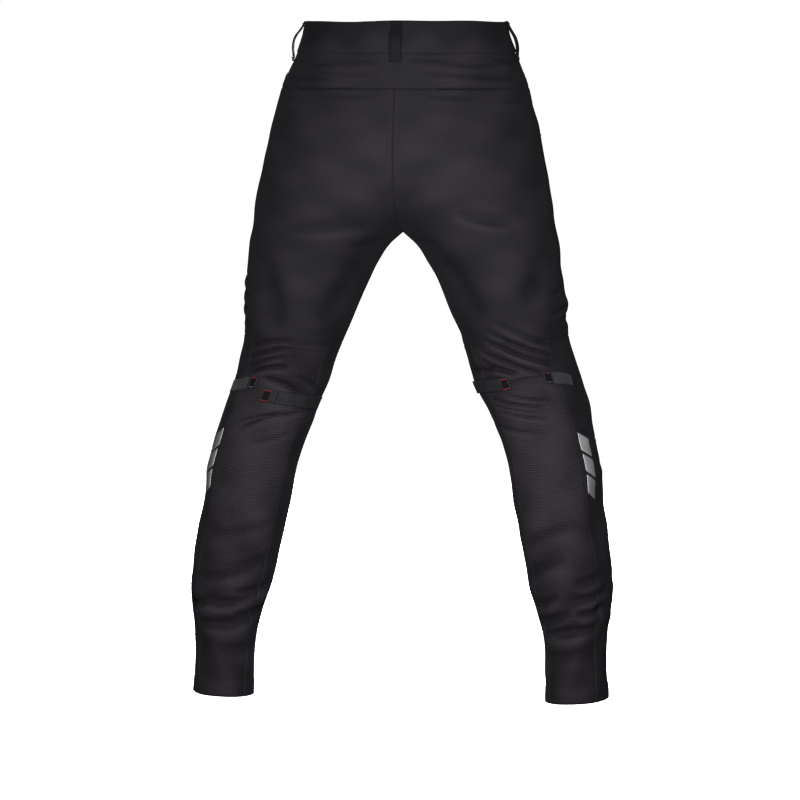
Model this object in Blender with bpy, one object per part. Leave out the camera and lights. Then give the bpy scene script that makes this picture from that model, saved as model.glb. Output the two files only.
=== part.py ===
"""Motorcycle trousers, worn and filled out with no wearer: a hollow garment of sewn cloth panels.

+Z is up, the front faces -Y and the wearer's left side is +X. The origin is the centre of the
waist opening, half-way down the waistband. Sizes and tables are in millimetres, meshes in metres.

The garment's skin is one function of a side, a level and a turn:
- level is the distance down the inside leg from the waist's top edge,
- turn runs round one side, from 0 at the back middle or inside leg, through 0.5 at the side
  seam, to 1 at the front middle or inside leg.
Each sewn piece is a patch of that skin, given a thickness and parted from its neighbours.
"""
import bmesh
import bpy
import numpy as np

MM = 0.001

# Driving sizes
ORIGIN_LEVEL = 20.0
WAISTBAND_SEAM = 46.0
YOKE_SEAM = 96.0
CROTCH = 302.0
KNEE_SEAM = 465.0
HEM = 972.0
POCKET_END = 170.0
POCKET_TOP_TURN = 0.64
SIDE_SEAM = 0.5
SEAM_GAP = 0.36
ON_TOP = 0.4
CLOTH = 1.6
WAISTBAND_THICK = 3.2
WAISTBAND_PROUD = 0.8
POCKET_DEEP = 1.2
STRAP_THICK = 1.8
STRAP_TAB_THICK = 3.0
REFLECTOR_THICK = 0.8
LOOP_THICK = 1.6
SNAP_RADIUS = 7.5
SNAP_HEIGHT = 2.4
SNAP_TOP_RADIUS = 5.25
SNAP_RIM_HEIGHT = 1.44
SNAP_SIDES = 12
RIB_PITCH = 3.2
RIB_RAISE = 0.7
RIB_TOP = 470.0
RIB_COUNT = 120
RIB_INNER_TURN = 0.125
RIB_OUTER_TURN = 0.405
FLY_END = 230.0

# How round the sections are, how wide the crotch blends, and how columns crowd towards the middle
ROUNDNESS = 2.2
MIDDLE_EASE = 26.0
CROWDING = 3.0
CROWDING_POWER = 4
SEAM_FADE_TURN = 0.03
NORMAL_STEP_TURN = 0.004
NORMAL_STEP_LEVEL = 1.0
SIGN = {"left": 1.0, "right": -1.0}

# The garment's sections: how far each side reaches from the middle plane (inner to outer), the
# place of its centre along Y, its depth behind and before that centre, the toe-out of the leg in
# degrees, and how much its seams climb towards the outside.
SECTION_COLUMNS = ("drop", "inner", "outer", "centre_y", "back", "front", "toe_out", "climb")
SECTIONS = (
    (0, -145, 145, -12, 104, 106, 0, 0),
    (24, -149, 149, -10, 107, 109, 0, 0),
    (46, -158, 158, -8, 110, 112, 0, 0),
    (90, -172, 176, -1, 117, 113, 0, 0),
    (145, -146, 191, 6, 124, 113, 0, 0),
    (203, -96, 203, 13, 126, 113, 0, 0),
    (261, -42, 214, 17, 118, 110, 0, 0),
    (302, 0, 220, 18, 109, 107, 0, 0),
    (319, 19, 223, 18, 105, 105, 1, 0.01),
    (348, 39, 226, 17, 99, 101, 3, 0.03),
    (377, 53, 230, 17, 93, 97, 5, 0.05),
    (406, 66, 232, 16, 88, 93, 7, 0.07),
    (435, 78.5, 232, 14, 82, 88, 8, 0.085),
    (464, 91.5, 234, 12, 77, 84, 9, 0.09),
    (493, 103, 241, 10, 73, 82, 9, 0.09),
    (522, 112, 250, 9, 72, 81, 9, 0.09),
    (551, 125, 260, 9, 72, 79, 9, 0.09),
    (580, 135, 269, 12, 73, 76, 9, 0.09),
    (609, 146, 278, 17, 75, 73, 9, 0.09),
    (638, 155, 285, 22, 76, 71, 9, 0.09),
    (696, 165, 291, 31, 74, 66, 9, 0.085),
    (754, 177, 301, 41, 68, 63, 9, 0.08),
    (812, 189, 306, 51, 61, 58, 9, 0.07),
    (850, 202, 303, 57, 56, 54, 9, 0.06),
    (880, 209, 299, 60, 53, 52, 9, 0.05),
    (972, 214, 301, 67, 51, 51, 9, 0.05),
)

# The largest folds and bulges of each leg: a soft ridge (or, where the rise is negative, a
# trough) along a line from one level and turn to another.
FOLD_COLUMNS = ("start_level", "start_turn", "end_level", "end_turn", "half_width", "rise")
FOLDS = {
    "left": (
        (435, 0.66, 615, 0.65, 32, 10),
        (450, 0.84, 605, 0.82, 28, 6),
        (505, 0.06, 545, 0.12, 16, 3),
        (522, 0.45, 500, 0.22, 5, -3.0),
        (511, 0.46, 482, 0.25, 6, 2.5),
        (500, 0.45, 476, 0.27, 5, -2.0),
        (519, 0.34, 542, 0.14, 6, -3.5),
        (508, 0.30, 524, 0.12, 9, 3.0),
        (604, 0.37, 560, 0.13, 5, -3.0),
        (590, 0.36, 556, 0.20, 5, 2.0),
        (283, 0.14, 294, 0.31, 8, -3.0),
        (835, 0.47, 862, 0.45, 7, -5.0),
        (820, 0.07, 846, 0.10, 10, 5.0),
    ),
    "right": (
        (425, 0.64, 620, 0.62, 34, 12),
        (450, 0.84, 605, 0.82, 28, 6),
        (450, 0.06, 575, 0.055, 26, 8),
        (402, 0.50, 432, 0.53, 12, 5),
        (460, 0.22, 508, 0.45, 5, -3.5),
        (476, 0.20, 514, 0.40, 6, 2.5),
        (452, 0.26, 494, 0.46, 6, 2.0),
        (509, 0.04, 500, 0.20, 7, -4.0),
        (499, 0.18, 512, 0.34, 7, -3.0),
        (526, 0.22, 524, 0.37, 7, -5.0),
        (541, 0.10, 559, 0.35, 4, -3.0),
        (550, 0.11, 567, 0.34, 4, -2.5),
        (559, 0.13, 575, 0.34, 4, -2.5),
        (268, 0.20, 288, 0.37, 8, -3.5),
        (640, 0.46, 850, 0.46, 20, -4.0),
        (832, 0.40, 858, 0.44, 8, -5.0),
    ),
}
FOLD_GIRTH = 430.0

# Knee straps, by the line of their middle, from the seam they start at to their stitched end tab.
STRAP_COLUMNS = ("side", "name", "seam_turn", "tab_turn", "tip_turn", "seam_level", "tip_level", "width")
STRAPS = (
    ("left", "outer", 0.495, 0.370, 0.333, 543, 527, 17),
    ("left", "inner", 0.006, 0.248, 0.303, 553, 544, 18),
    ("right", "outer", 0.495, 0.387, 0.355, 527, 516, 17),
    ("right", "inner", 0.006, 0.198, 0.235, 527, 521, 17),
)

STRAP_ROWS = 7
STRAP_COLUMN_MARGIN = 0.012

# Reflecting patches of each calf: level of the upper corner nearest the back, and length.
REFLECTOR_COLUMNS = ("name", "level", "length")
REFLECTORS = (("top", 597, 25), ("middle", 626, 25), ("low", 655, 26))
REFLECTOR_TURNS = (0.418, 0.434, 0.450, 0.466)
REFLECTOR_SLANT = 12.0

# Belt loops: where each one's middle is, and how far it stands off half-way down.
LOOP_COLUMNS = ("name", "side", "turn", "bow")
LOOPS = (
    ("back", "left", 0.0, 7.0),
    ("left", "left", 0.485, 10.0),
    ("right", "right", 0.470, 8.0),
    ("front_left", "left", 0.84, 7.0),
    ("front_right", "right", 0.84, 7.0),
)
LOOP_HALF_TURN = 0.0175
LOOP_BOW_POWER = 1.5
LOOP_STEP_LEVEL = 48.0
LOOP_LEVELS = (2.0, 7.0, 13.0, 20.0, 28.0, 36.0, 43.0, 49.0, 54.0, 59.0)

# Rows of the mesh, by level
WAIST_LEVELS = (0.0, 16.0, 31.0, WAISTBAND_SEAM)
YOKE_LEVELS = (WAISTBAND_SEAM, 62.0, 79.0, YOKE_SEAM)
SEAT_LEVELS = (YOKE_SEAM, 120.0, 144.0, 166.0, POCKET_END, 200.0, 226.0, 248.0, 266.0, 280.0, 291.0, 298.0,
               CROTCH, 306.0, 314.0, 327.0, 345.0, 365.0, 385.0, 403.0, 420.0, 435.0, 450.0, KNEE_SEAM)
CALF_STEP = 4 * RIB_PITCH
CALF_STEPS = (*range(0, 12), *range(12, 26, 2), *range(26, 31))
CALF_LEVELS = (KNEE_SEAM, *(RIB_TOP + CALF_STEP * step for step in CALF_STEPS), 866.0, 900.0, 936.0, HEM)
KNEE_ROWS = 13

# Columns of the mesh, by turn
BACK_TURNS = (0.0, 0.042, 0.083, RIB_INNER_TURN, 0.195, 0.265, 0.335, RIB_OUTER_TURN, 0.437, 0.469, SIDE_SEAM)
FRONT_TURNS = tuple(np.linspace(SIDE_SEAM, 1.0, 9))
FRONT_FIXED_TURN = 0.75


def curve_through(column, drop):
    """Reads one column of the section table as a smooth curve."""
    rows = SECTION["drop"]
    values = SECTION[column]
    slopes = np.gradient(values, rows)
    low = np.clip(np.searchsorted(rows, drop) - 1, 0, len(rows) - 2)
    span = rows[low + 1] - rows[low]
    part = (drop - rows[low]) / span
    rest = 1.0 - part
    ends = values[low] * (1 + 2 * part) * rest**2 + values[low + 1] * (1 + 2 * rest) * part**2
    leans = (slopes[low] * rest - slopes[low + 1] * part) * part * rest * span
    return ends + leans


SECTION = dict(zip(SECTION_COLUMNS, np.array(SECTIONS, dtype=float).T))


def leg_only(column, drop):
    """A column that is nought above the crotch."""
    return np.where(drop > CROTCH, curve_through(column, drop), 0.0)


def ring_shape(drop, turn):
    """The outline of one side at one height: distance from the middle plane, angle, share of its depth.

    Each leg is an oval. Above the crotch its inner end would lie past the middle plane, and the
    oval is cut off there, so the crotch seam is the curve where both legs' ovals meet.
    """
    inner = curve_through("inner", drop)
    outer = curve_through("outer", drop)
    centre = 0.5 * (outer + inner)
    half_width = 0.5 * (outer - inner)
    reach = np.clip(centre / half_width, 0.0, 1.0)
    half_angle = np.arccos(-reach)
    spin = 1.0 - 2.0 * turn
    crowding = 1.0 + CROWDING * reach**CROWDING_POWER
    angle = np.sign(spin) * (np.pi * np.abs(spin) - (np.pi - half_angle) * np.abs(spin) ** crowding)
    x = centre + half_width * np.cos(angle)
    ease = MIDDLE_EASE * (1.0 - reach**2)
    eased = np.where(inner < 0.0, np.hypot(x, ease * (1.0 - (x / outer) ** 2)), x)
    off_centre = np.clip(np.abs(eased - centre) / half_width, 0.0, 1.0)
    depth = (1.0 - off_centre**ROUNDNESS) ** (1.0 / ROUNDNESS)
    return x, angle, depth


def fold_rise(side, level, turn):
    """How far the folds move the skin out, fading to nothing at the middle and inside-leg seams."""
    rise = np.zeros(np.broadcast(level, turn).shape)
    for row in FOLDS[side]:
        fold = dict(zip(FOLD_COLUMNS, row))
        start_x = fold["start_turn"] * FOLD_GIRTH
        run_x = (fold["end_turn"] - fold["start_turn"]) * FOLD_GIRTH
        run_y = fold["end_level"] - fold["start_level"]
        from_x = turn * FOLD_GIRTH - start_x
        from_y = level - fold["start_level"]
        along = np.clip((from_x * run_x + from_y * run_y) / (run_x**2 + run_y**2), 0.0, 1.0)
        away = np.hypot(from_x - along * run_x, from_y - along * run_y)
        taper = 4.0 * along * (1.0 - along)
        rise = rise + fold["rise"] * taper * np.exp(-((away / fold["half_width"]) ** 2))
    seam_fade = np.clip(np.minimum(turn, 1.0 - turn) / SEAM_FADE_TURN, 0.0, 1.0)
    return rise * seam_fade


def skin(side, level, turn):
    """A point on the outer face of the cloth, in millimetres."""
    from_seam = ring_shape(level, turn)[0] - np.maximum(curve_through("inner", level), 0.0)
    drop = level - leg_only("climb", level) * from_seam
    x, angle, depth = ring_shape(drop, turn)
    behind = curve_through("back", drop)
    before = curve_through("front", drop)
    half_width = 0.5 * (curve_through("outer", drop) - curve_through("inner", drop))
    y = np.where(angle >= 0.0, behind, -before) * depth
    out_x = np.where(angle >= 0.0, behind, before) * np.cos(angle)
    out_y = half_width * np.sin(angle)
    scale = fold_rise(side, level, turn) / np.hypot(out_x, out_y)
    x = x + out_x * scale
    y = y + out_y * scale
    centre_x = 0.5 * (curve_through("outer", drop) + curve_through("inner", drop))
    toe_out = np.radians(leg_only("toe_out", drop))
    turned_x = centre_x + (x - centre_x) * np.cos(toe_out) - y * np.sin(toe_out)
    turned_y = (x - centre_x) * np.sin(toe_out) + y * np.cos(toe_out)
    place_y = curve_through("centre_y", drop) + turned_y
    return np.stack(np.broadcast_arrays(SIGN[side] * turned_x, place_y, ORIGIN_LEVEL - drop), axis=-1)


def unit(vectors):
    """Vectors of length one."""
    return vectors / np.linalg.norm(vectors, axis=-1, keepdims=True)


def outward(side, level, turn):
    """The direction square to the skin; both pieces that meet at a seam get the same one."""
    step = NORMAL_STEP_TURN

    def at(place):
        ahead = skin(side, level, place + step) - skin(side, level, place - step)
        down = skin(side, level + NORMAL_STEP_LEVEL, place) - skin(side, level - NORMAL_STEP_LEVEL, place)
        return unit(SIGN[side] * np.cross(ahead, down))

    clear = np.clip(turn, step, 1.0 - step)
    here = at(clear)
    across_leg = at(1.0 - clear)
    across_middle = here * np.array((-1.0, 1.0, 1.0))
    in_leg = (np.broadcast_to(level, turn.shape) > CROTCH)[..., None]
    partner = np.where(in_leg, across_leg, across_middle)
    at_seam = (np.abs(turn - clear) > 0.0)[..., None]
    return np.where(at_seam, unit(here + partner), here)


def pull_in(grid, edges="top bottom start end"):
    """Moves the border of a grid of points inwards, along the grid, by half a seam's gap."""
    grid = grid.copy()
    half_gap = 0.5 * SEAM_GAP
    if "top" in edges:
        grid[0] += unit(grid[1] - grid[0]) * half_gap
    if "bottom" in edges:
        grid[-1] += unit(grid[-2] - grid[-1]) * half_gap
    if "start" in edges:
        grid[:, 0] += unit(grid[:, 1] - grid[:, 0]) * half_gap
    if "end" in edges:
        grid[:, -1] += unit(grid[:, -2] - grid[:, -1]) * half_gap
    return grid


def finish_object(name, vertices, faces, material):
    """Makes one closed object with its faces pointing out."""
    mesh = bpy.data.meshes.new(name)
    mesh.from_pydata([tuple(point * MM) for point in vertices], [], faces)
    work = bmesh.new()
    work.from_mesh(mesh)
    bmesh.ops.recalc_face_normals(work, faces=work.faces)
    if work.calc_volume(signed=True) < 0.0:
        bmesh.ops.reverse_faces(work, faces=work.faces)
    work.to_mesh(mesh)
    work.free()
    mesh.materials.append(material)
    mesh.shade_smooth()
    item = bpy.data.objects.new(name, mesh)
    bpy.context.scene.collection.objects.link(item)
    return item


def wall(name, outer, inner, material, kept_rows=None, ring=False):
    """A closed wall between two grids of points. The inner grid has only the kept rows."""
    rows, columns = outer.shape[:2]
    kept = list(range(rows)) if kept_rows is None else list(kept_rows)
    vertices = list(outer.reshape(-1, 3)) + list(inner.reshape(-1, 3))
    base = rows * columns

    def out_at(row, column):
        return row * columns + column % columns

    def in_at(row, column):
        return base + row * columns + column % columns

    faces = []
    last = len(kept) - 1
    for column in range(columns if ring else columns - 1):
        for row in range(rows - 1):
            faces.append((out_at(row, column), out_at(row, column + 1),
                          out_at(row + 1, column + 1), out_at(row + 1, column)))
        for row in range(last):
            faces.append((in_at(row, column + 1), in_at(row, column),
                          in_at(row + 1, column), in_at(row + 1, column + 1)))
        faces.append((out_at(0, column), in_at(0, column), in_at(0, column + 1), out_at(0, column + 1)))
        faces.append((out_at(rows - 1, column + 1), in_at(last, column + 1),
                      in_at(last, column), out_at(rows - 1, column)))
    if not ring:
        for row in range(last):
            for column in (0, columns - 1):
                border = [out_at(step, column) for step in range(kept[row], kept[row + 1] + 1)]
                faces.append(border + [in_at(row + 1, column), in_at(row, column)])
    return finish_object(name, vertices, faces, material)


def patch_grid(levels, turns, start=None):
    """Levels and turns of a patch; start, if given, moves its first upright edge at each level.

    The columns from FRONT_FIXED_TURN on stay where they are.
    """
    levels = np.asarray(levels, dtype=float)
    turns = np.asarray(turns, dtype=float)
    level, turn = np.meshgrid(levels, turns, indexing="ij")
    if start is not None:
        edge = start(level)
        moved = edge + (FRONT_FIXED_TURN - edge) * (turn - turns[0]) / (FRONT_FIXED_TURN - turns[0])
        turn = np.where(turn < FRONT_FIXED_TURN, moved, turn)
    return level, turn


def layer(side, level, turn, lift):
    """Points of the skin moved out by a lift, which may differ from point to point."""
    return skin(side, level, turn) + outward(side, level, turn) * np.asarray(lift)[..., None]


def panel(name, side, level, turn, material, lift=0.0, thick=CLOTH):
    """One sewn piece of one side."""
    outer = pull_in(layer(side, level, turn, lift))
    inner = pull_in(layer(side, level, turn, lift - thick))
    return wall(name, outer, inner, material)


def both_sides(levels, turns, lift, ring=False):
    """A grid over both sides: from the left side's last turn, through the first, to the right's last."""
    level, turn = patch_grid(levels, turns)
    left = layer("left", level, turn, lift)
    right = layer("right", level, turn, lift)
    right = right[:, 1:-1] if ring else right[:, 1:]
    return np.concatenate((left[:, ::-1], right), axis=1)


def pocket_line(level):
    """The slanted mouth of the hand pocket, from the waistband down to the side seam."""
    share = np.clip((POCKET_END - level) / (POCKET_END - WAISTBAND_SEAM), 0.0, 1.0)
    return SIDE_SEAM + (POCKET_TOP_TURN - SIDE_SEAM) * share


def make_upper(shell, lining):
    """Waistband, yoke, seat, fronts, pocket facings and fly."""
    whole_turn = BACK_TURNS + FRONT_TURNS[1:]
    outer = pull_in(both_sides(WAIST_LEVELS, whole_turn, WAISTBAND_PROUD, ring=True), "bottom")
    inner_lift = WAISTBAND_PROUD - WAISTBAND_THICK
    inner = pull_in(both_sides(WAIST_LEVELS, whole_turn, inner_lift, ring=True), "bottom")
    wall("waistband", outer, inner, shell, ring=True)
    outer = pull_in(both_sides(YOKE_LEVELS, BACK_TURNS, 0.0))
    inner = pull_in(both_sides(YOKE_LEVELS, BACK_TURNS, -CLOTH))
    wall("back_yoke", outer, inner, shell)
    front_levels = YOKE_LEVELS[:-1] + SEAT_LEVELS
    pocket_levels = [level for level in front_levels if level < POCKET_END]
    for side in SIGN:
        panel(f"back_panel_{side}", side, *patch_grid(SEAT_LEVELS, BACK_TURNS), shell)
        panel(f"front_panel_{side}", side, *patch_grid(front_levels, FRONT_TURNS, pocket_line), shell)
        level, share = patch_grid(pocket_levels, (0.0, 0.5, 1.0))
        turn = SIDE_SEAM + (pocket_line(level) - SIDE_SEAM) * share
        panel(f"pocket_facing_{side}", side, level, turn, lining, lift=-POCKET_DEEP)


def make_front_closure(shell, metal):
    """The fly flap, the waistband end that laps over at the front, and its snap."""
    fly_levels = [level for level in YOKE_LEVELS[:-1] + SEAT_LEVELS if level < FLY_END]
    panel("fly_flap", "left", *patch_grid(fly_levels, FRONT_TURNS[-2:]), shell, lift=ON_TOP + CLOTH)
    level, turn = patch_grid(WAIST_LEVELS, FRONT_TURNS[-2:])
    lift = WAISTBAND_PROUD + ON_TOP + CLOTH
    faces_of_tab = []
    for height in (lift, lift - CLOTH):
        left = layer("left", level, turn, height)
        right = layer("right", level, turn, height)[:, -2::-1]
        faces_of_tab.append(np.concatenate((left, right), axis=1))
    outer, inner = faces_of_tab
    wall("waistband_tab", pull_in(outer), pull_in(inner), shell)
    middle = 0.5 * (outer[1, 1] + outer[2, 1])
    along = unit(outer[1, 2] - outer[1, 0])
    down = unit(outer[2, 1] - outer[1, 1])
    out = unit(np.cross(down, along))
    out = out * np.sign(out @ (outer[1, 1] - inner[1, 1]))
    rings = ((SNAP_RADIUS, 0.0), (SNAP_RADIUS, SNAP_RIM_HEIGHT), (SNAP_TOP_RADIUS, SNAP_HEIGHT))
    angles = np.linspace(0.0, 2.0 * np.pi, SNAP_SIDES, endpoint=False)
    points = []
    for radius, height in rings:
        circle = np.cos(angles)[:, None] * along + np.sin(angles)[:, None] * down
        points.extend(middle + circle * radius + out * (ON_TOP + height))
    count = len(angles)
    faces = [tuple(range(count)), tuple(range(2 * count, 3 * count))]
    for ring in range(2):
        for step in range(count):
            beside = (step + 1) % count
            faces.append((ring * count + step, ring * count + beside,
                          (ring + 1) * count + beside, (ring + 1) * count + step))
    finish_object("waist_snap", points, faces, metal)


def make_lower(shell, stretch):
    """Knee, shin and calf pieces."""
    inner_turns = [turn for turn in BACK_TURNS if turn <= RIB_INNER_TURN]
    rib_turns = [turn for turn in BACK_TURNS if RIB_INNER_TURN <= turn <= RIB_OUTER_TURN]
    outer_turns = [turn for turn in BACK_TURNS if turn >= RIB_OUTER_TURN]
    rib_rows = [RIB_TOP + 0.5 * RIB_PITCH * row for row in range(2 * RIB_COUNT + 1)]
    rib_levels = [CALF_LEVELS[0]] + rib_rows + [level for level in CALF_LEVELS if level > rib_rows[-1] + 0.1]
    kept = [int(np.argmin(np.abs(np.array(rib_levels) - level))) for level in CALF_LEVELS]
    for side in SIGN:
        panel(f"knee_panel_{side}", side, *patch_grid(CALF_LEVELS[:KNEE_ROWS], FRONT_TURNS), shell)
        panel(f"shin_panel_{side}", side, *patch_grid(CALF_LEVELS[KNEE_ROWS - 1:], FRONT_TURNS), shell)
        panel(f"calf_inner_{side}", side, *patch_grid(CALF_LEVELS, inner_turns), shell)
        panel(f"calf_outer_{side}", side, *patch_grid(CALF_LEVELS, outer_turns), shell)
        level, turn = patch_grid(rib_levels, rib_turns)
        rise = np.zeros(level.shape)
        rise[2:2 * RIB_COUNT + 1:2] = RIB_RAISE
        outer = pull_in(layer(side, level, turn, rise))
        level, turn = patch_grid(CALF_LEVELS, rib_turns)
        inner = pull_in(layer(side, level, turn, -CLOTH))
        wall(f"rib_panel_{side}", outer, inner, stretch, kept_rows=kept)


def make_straps(webbing):
    """Knee straps and the stitched tabs at their ends."""
    for row in STRAPS:
        strap = dict(zip(STRAP_COLUMNS, row))
        side = strap["side"]
        pieces = (
            (f"strap_{strap['name']}_{side}", strap["seam_turn"], strap["tab_turn"], STRAP_THICK),
            (f"strap_{strap['name']}_tab_{side}", strap["tab_turn"], strap["tip_turn"], STRAP_TAB_THICK),
        )
        lean = (strap["tip_level"] - strap["seam_level"]) / (strap["tip_turn"] - strap["seam_turn"])
        under = RIB_RAISE + 2 * ON_TOP
        for name, first, second, thick in pieces:
            low, high = sorted((first, second))
            inside = [turn for turn in BACK_TURNS
                      if low + STRAP_COLUMN_MARGIN < turn < high - STRAP_COLUMN_MARGIN]
            turns = [low] + inside + [high]
            turn, share = np.meshgrid(turns, np.linspace(-0.5, 0.5, STRAP_ROWS))
            level = strap["seam_level"] + lean * (turn - strap["seam_turn"]) + share * strap["width"]
            outer = pull_in(layer(side, level, turn, under + thick))
            inner = pull_in(layer(side, level, turn, under))
            wall(name, outer, inner, webbing)


def make_reflectors(reflecting):
    """Three slanted patches on each outer calf."""
    for side in SIGN:
        for row in REFLECTORS:
            patch = dict(zip(REFLECTOR_COLUMNS, row))
            turn, share = np.meshgrid(REFLECTOR_TURNS, (0.0, 0.5, 1.0))
            slant = (turn - REFLECTOR_TURNS[0]) / (REFLECTOR_TURNS[-1] - REFLECTOR_TURNS[0])
            level = patch["level"] + REFLECTOR_SLANT * slant + patch["length"] * share
            outer = layer(side, level, turn, ON_TOP + REFLECTOR_THICK)
            inner = layer(side, level, turn, ON_TOP)
            wall(f"reflector_{patch['name']}_{side}", outer, inner, reflecting)


def make_loops(shell):
    """Belt loops, sewn down at both ends and bowed between them."""
    for row in LOOPS:
        loop = dict(zip(LOOP_COLUMNS, row))
        level, offset = np.meshgrid(LOOP_LEVELS, (-LOOP_HALF_TURN, 0.0, LOOP_HALF_TURN), indexing="ij")
        part = (level - LOOP_LEVELS[0]) / (LOOP_LEVELS[-1] - LOOP_LEVELS[0])
        bow = loop["bow"] * np.sin(np.pi * part) ** LOOP_BOW_POWER
        step = np.where(level < LOOP_STEP_LEVEL, WAISTBAND_PROUD, 0.0)
        lift = ON_TOP + step + bow
        turn = loop["turn"] + offset
        outer = layer(loop["side"], level, np.abs(turn), lift + LOOP_THICK)
        inner = layer(loop["side"], level, np.abs(turn), lift)
        if loop["turn"] == 0.0:
            outer[:, 0, 0] *= -1.0
            inner[:, 0, 0] *= -1.0
        wall(f"loop_{loop['name']}", outer, inner, shell)


def remove_start_objects():
    """Clears the scene."""
    for item in list(bpy.data.objects):
        bpy.data.objects.remove(item)


def make_material(name, colour, roughness, metallic=0.0):
    """A plain finish."""
    material = bpy.data.materials.new(name)
    material.use_nodes = True
    shader = material.node_tree.nodes["Principled BSDF"]
    shader.inputs["Base Color"].default_value = (*colour, 1.0)
    shader.inputs["Roughness"].default_value = roughness
    shader.inputs["Metallic"].default_value = metallic
    material.diffuse_color = (*colour, 1.0)
    return material


def main():
    remove_start_objects()
    shell = make_material("shell_cloth", (0.030, 0.028, 0.033), 0.85)
    stretch = make_material("stretch_cloth", (0.045, 0.043, 0.050), 0.80)
    lining = make_material("pocket_cloth", (0.012, 0.012, 0.013), 0.90)
    webbing = make_material("strap_webbing", (0.050, 0.050, 0.055), 0.75)
    reflecting = make_material("reflecting_film", (0.300, 0.300, 0.310), 0.45)
    metal = make_material("dark_metal", (0.080, 0.080, 0.085), 0.35, 1.0)
    make_upper(shell, lining)
    make_front_closure(shell, metal)
    make_lower(shell, stretch)
    make_straps(webbing)
    make_reflectors(reflecting)
    make_loops(shell)


main()
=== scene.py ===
"""The looks of a pair of motorcycle trousers: thin shells of cloth, seams, stitches and trims on the frame.

Tables and sizes are in millimetres, meshes and the scene in metres. +Z is up, the front faces -Y and
the wearer's left side is +X. A place on the garment is a side, a level (the distance down the inside
leg from the waist's top edge) and a turn (0 at the back middle or inside leg, 0.5 at the side seam, 1
at the front middle or inside leg).
"""

import bpy
import numpy as np
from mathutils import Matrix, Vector


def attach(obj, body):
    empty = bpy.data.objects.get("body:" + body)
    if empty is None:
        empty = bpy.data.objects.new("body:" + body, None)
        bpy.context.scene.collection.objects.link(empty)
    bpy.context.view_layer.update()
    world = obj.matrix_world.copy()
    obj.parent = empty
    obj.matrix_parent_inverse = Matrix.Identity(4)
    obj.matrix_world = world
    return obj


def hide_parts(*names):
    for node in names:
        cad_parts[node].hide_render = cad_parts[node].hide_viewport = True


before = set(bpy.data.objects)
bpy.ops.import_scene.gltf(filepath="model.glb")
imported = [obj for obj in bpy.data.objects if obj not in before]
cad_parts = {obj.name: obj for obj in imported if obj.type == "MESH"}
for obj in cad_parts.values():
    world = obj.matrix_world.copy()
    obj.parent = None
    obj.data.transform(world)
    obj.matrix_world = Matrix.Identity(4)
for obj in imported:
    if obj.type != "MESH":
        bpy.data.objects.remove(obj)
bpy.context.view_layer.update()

MM = 0.001
GIRTH = 430.0

# Sizes that the solids share
ORIGIN_LEVEL = 20.0
WAISTBAND_SEAM = 46.0
YOKE_SEAM = 96.0
CROTCH = 302.0
KNEE_TOP = 465.0
KNEE_BOTTOM = 610.8
HEM = 972.0
POCKET_END = 170.0
POCKET_TOP_TURN = 0.64
POCKET_SHARE = 0.31
SIDES = ("left", "right")
BORDERS = ("top", "start", "bottom", "end")
SIDE_SEAM = 0.5
FLY_TURN = 0.9375
FLY_END = 226.0
ON_TOP = 0.4
WAISTBAND_THICK = 3.2
WAISTBAND_PROUD = 0.8
POCKET_DEEP = 1.2
STRAP_THICK = 1.8
STRAP_TAB_THICK = 3.0
STRAP_LIFT = 0.7
STRAP_SINK = 3.8
STRAP_SINK_REACH = 9.0
STRAP_WAVE = 0.35
STRAP_WAVES = 95.0
TAB_FRAME = 15.0
TAB_TACK = 10.0
TAB_RIM = 2.8
SLOT_DEPTH = 1.3
TAB_SHADE = 0.9
REFLECTOR_THICK = 0.8
LOOP_THICK = 1.6
LOOP_TOP = 2.0
LOOP_END = 59.0
LOOP_HALF_TURN = 0.0175
SNAP_RADIUS = 7.5
SNAP_HEIGHT = 2.4
SNAP_PROFILE = ((0.0, 0.0), (1.0, 0.0), (1.0, 0.35), (0.93, 0.62), (0.80, 0.62), (0.74, 0.45), (0.66, 0.45),
                (0.56, 0.80), (0.30, 0.96), (0.0, 1.0))
RIB_PITCH = 3.2
RIB_TOP = 470.0
RIB_COUNT = 120
RIB_INNER_TURN = 0.125
RIB_OUTER_TURN = 0.405
# Painted highlight on the rib crests and painted shade in their grooves
RIB_PAINTED_LIGHT = 3.2
# Painted shade on the ribbed panel towards the hem, past the lower level, and above the straps, before the
# upper level
LOWER_PAINTED_SHADE = 1.5
LOWER_LEVEL = 740.0
UPPER_PAINTED_SHADE = 1.3
UPPER_LEVEL = 540.0
ROUNDNESS = 2.2
MIDDLE_EASE = 26.0
FRONT_FIXED_TURN = 0.75

# Sizes of the cloth and its sewing
CLOTH = 1.4
SHELL_GAP = 0.02
MESH_STEP = 3.0
NEAR_SEAM = (0.0, 0.7, 1.4, 2.2, 3.2, 4.4, 5.6, 6.8, 8.2)
SEAM_DEPTH = 0.85
SEAM_WIDTH = 1.7
FLAT_SEAM = 0.35
YOKE_FLAT = 0.6
PUCKER_RISE = 0.28
PUCKER_PITCH = 7.0
PUCKER_REACH = 7.0
ALLOWANCE_RISE = 0.35
STITCH_GROOVE = 0.25
STITCH_LENGTH = 2.6
STITCH_PITCH = 3.5
THREAD_WIDTH = 0.55
THREAD_HEIGHT = 0.35
HEM_FOLD = 22.0
HEM_RISE = 0.6
WAIST_DIP = 2.6
WAIST_DIP_REACH = 14.0
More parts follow.
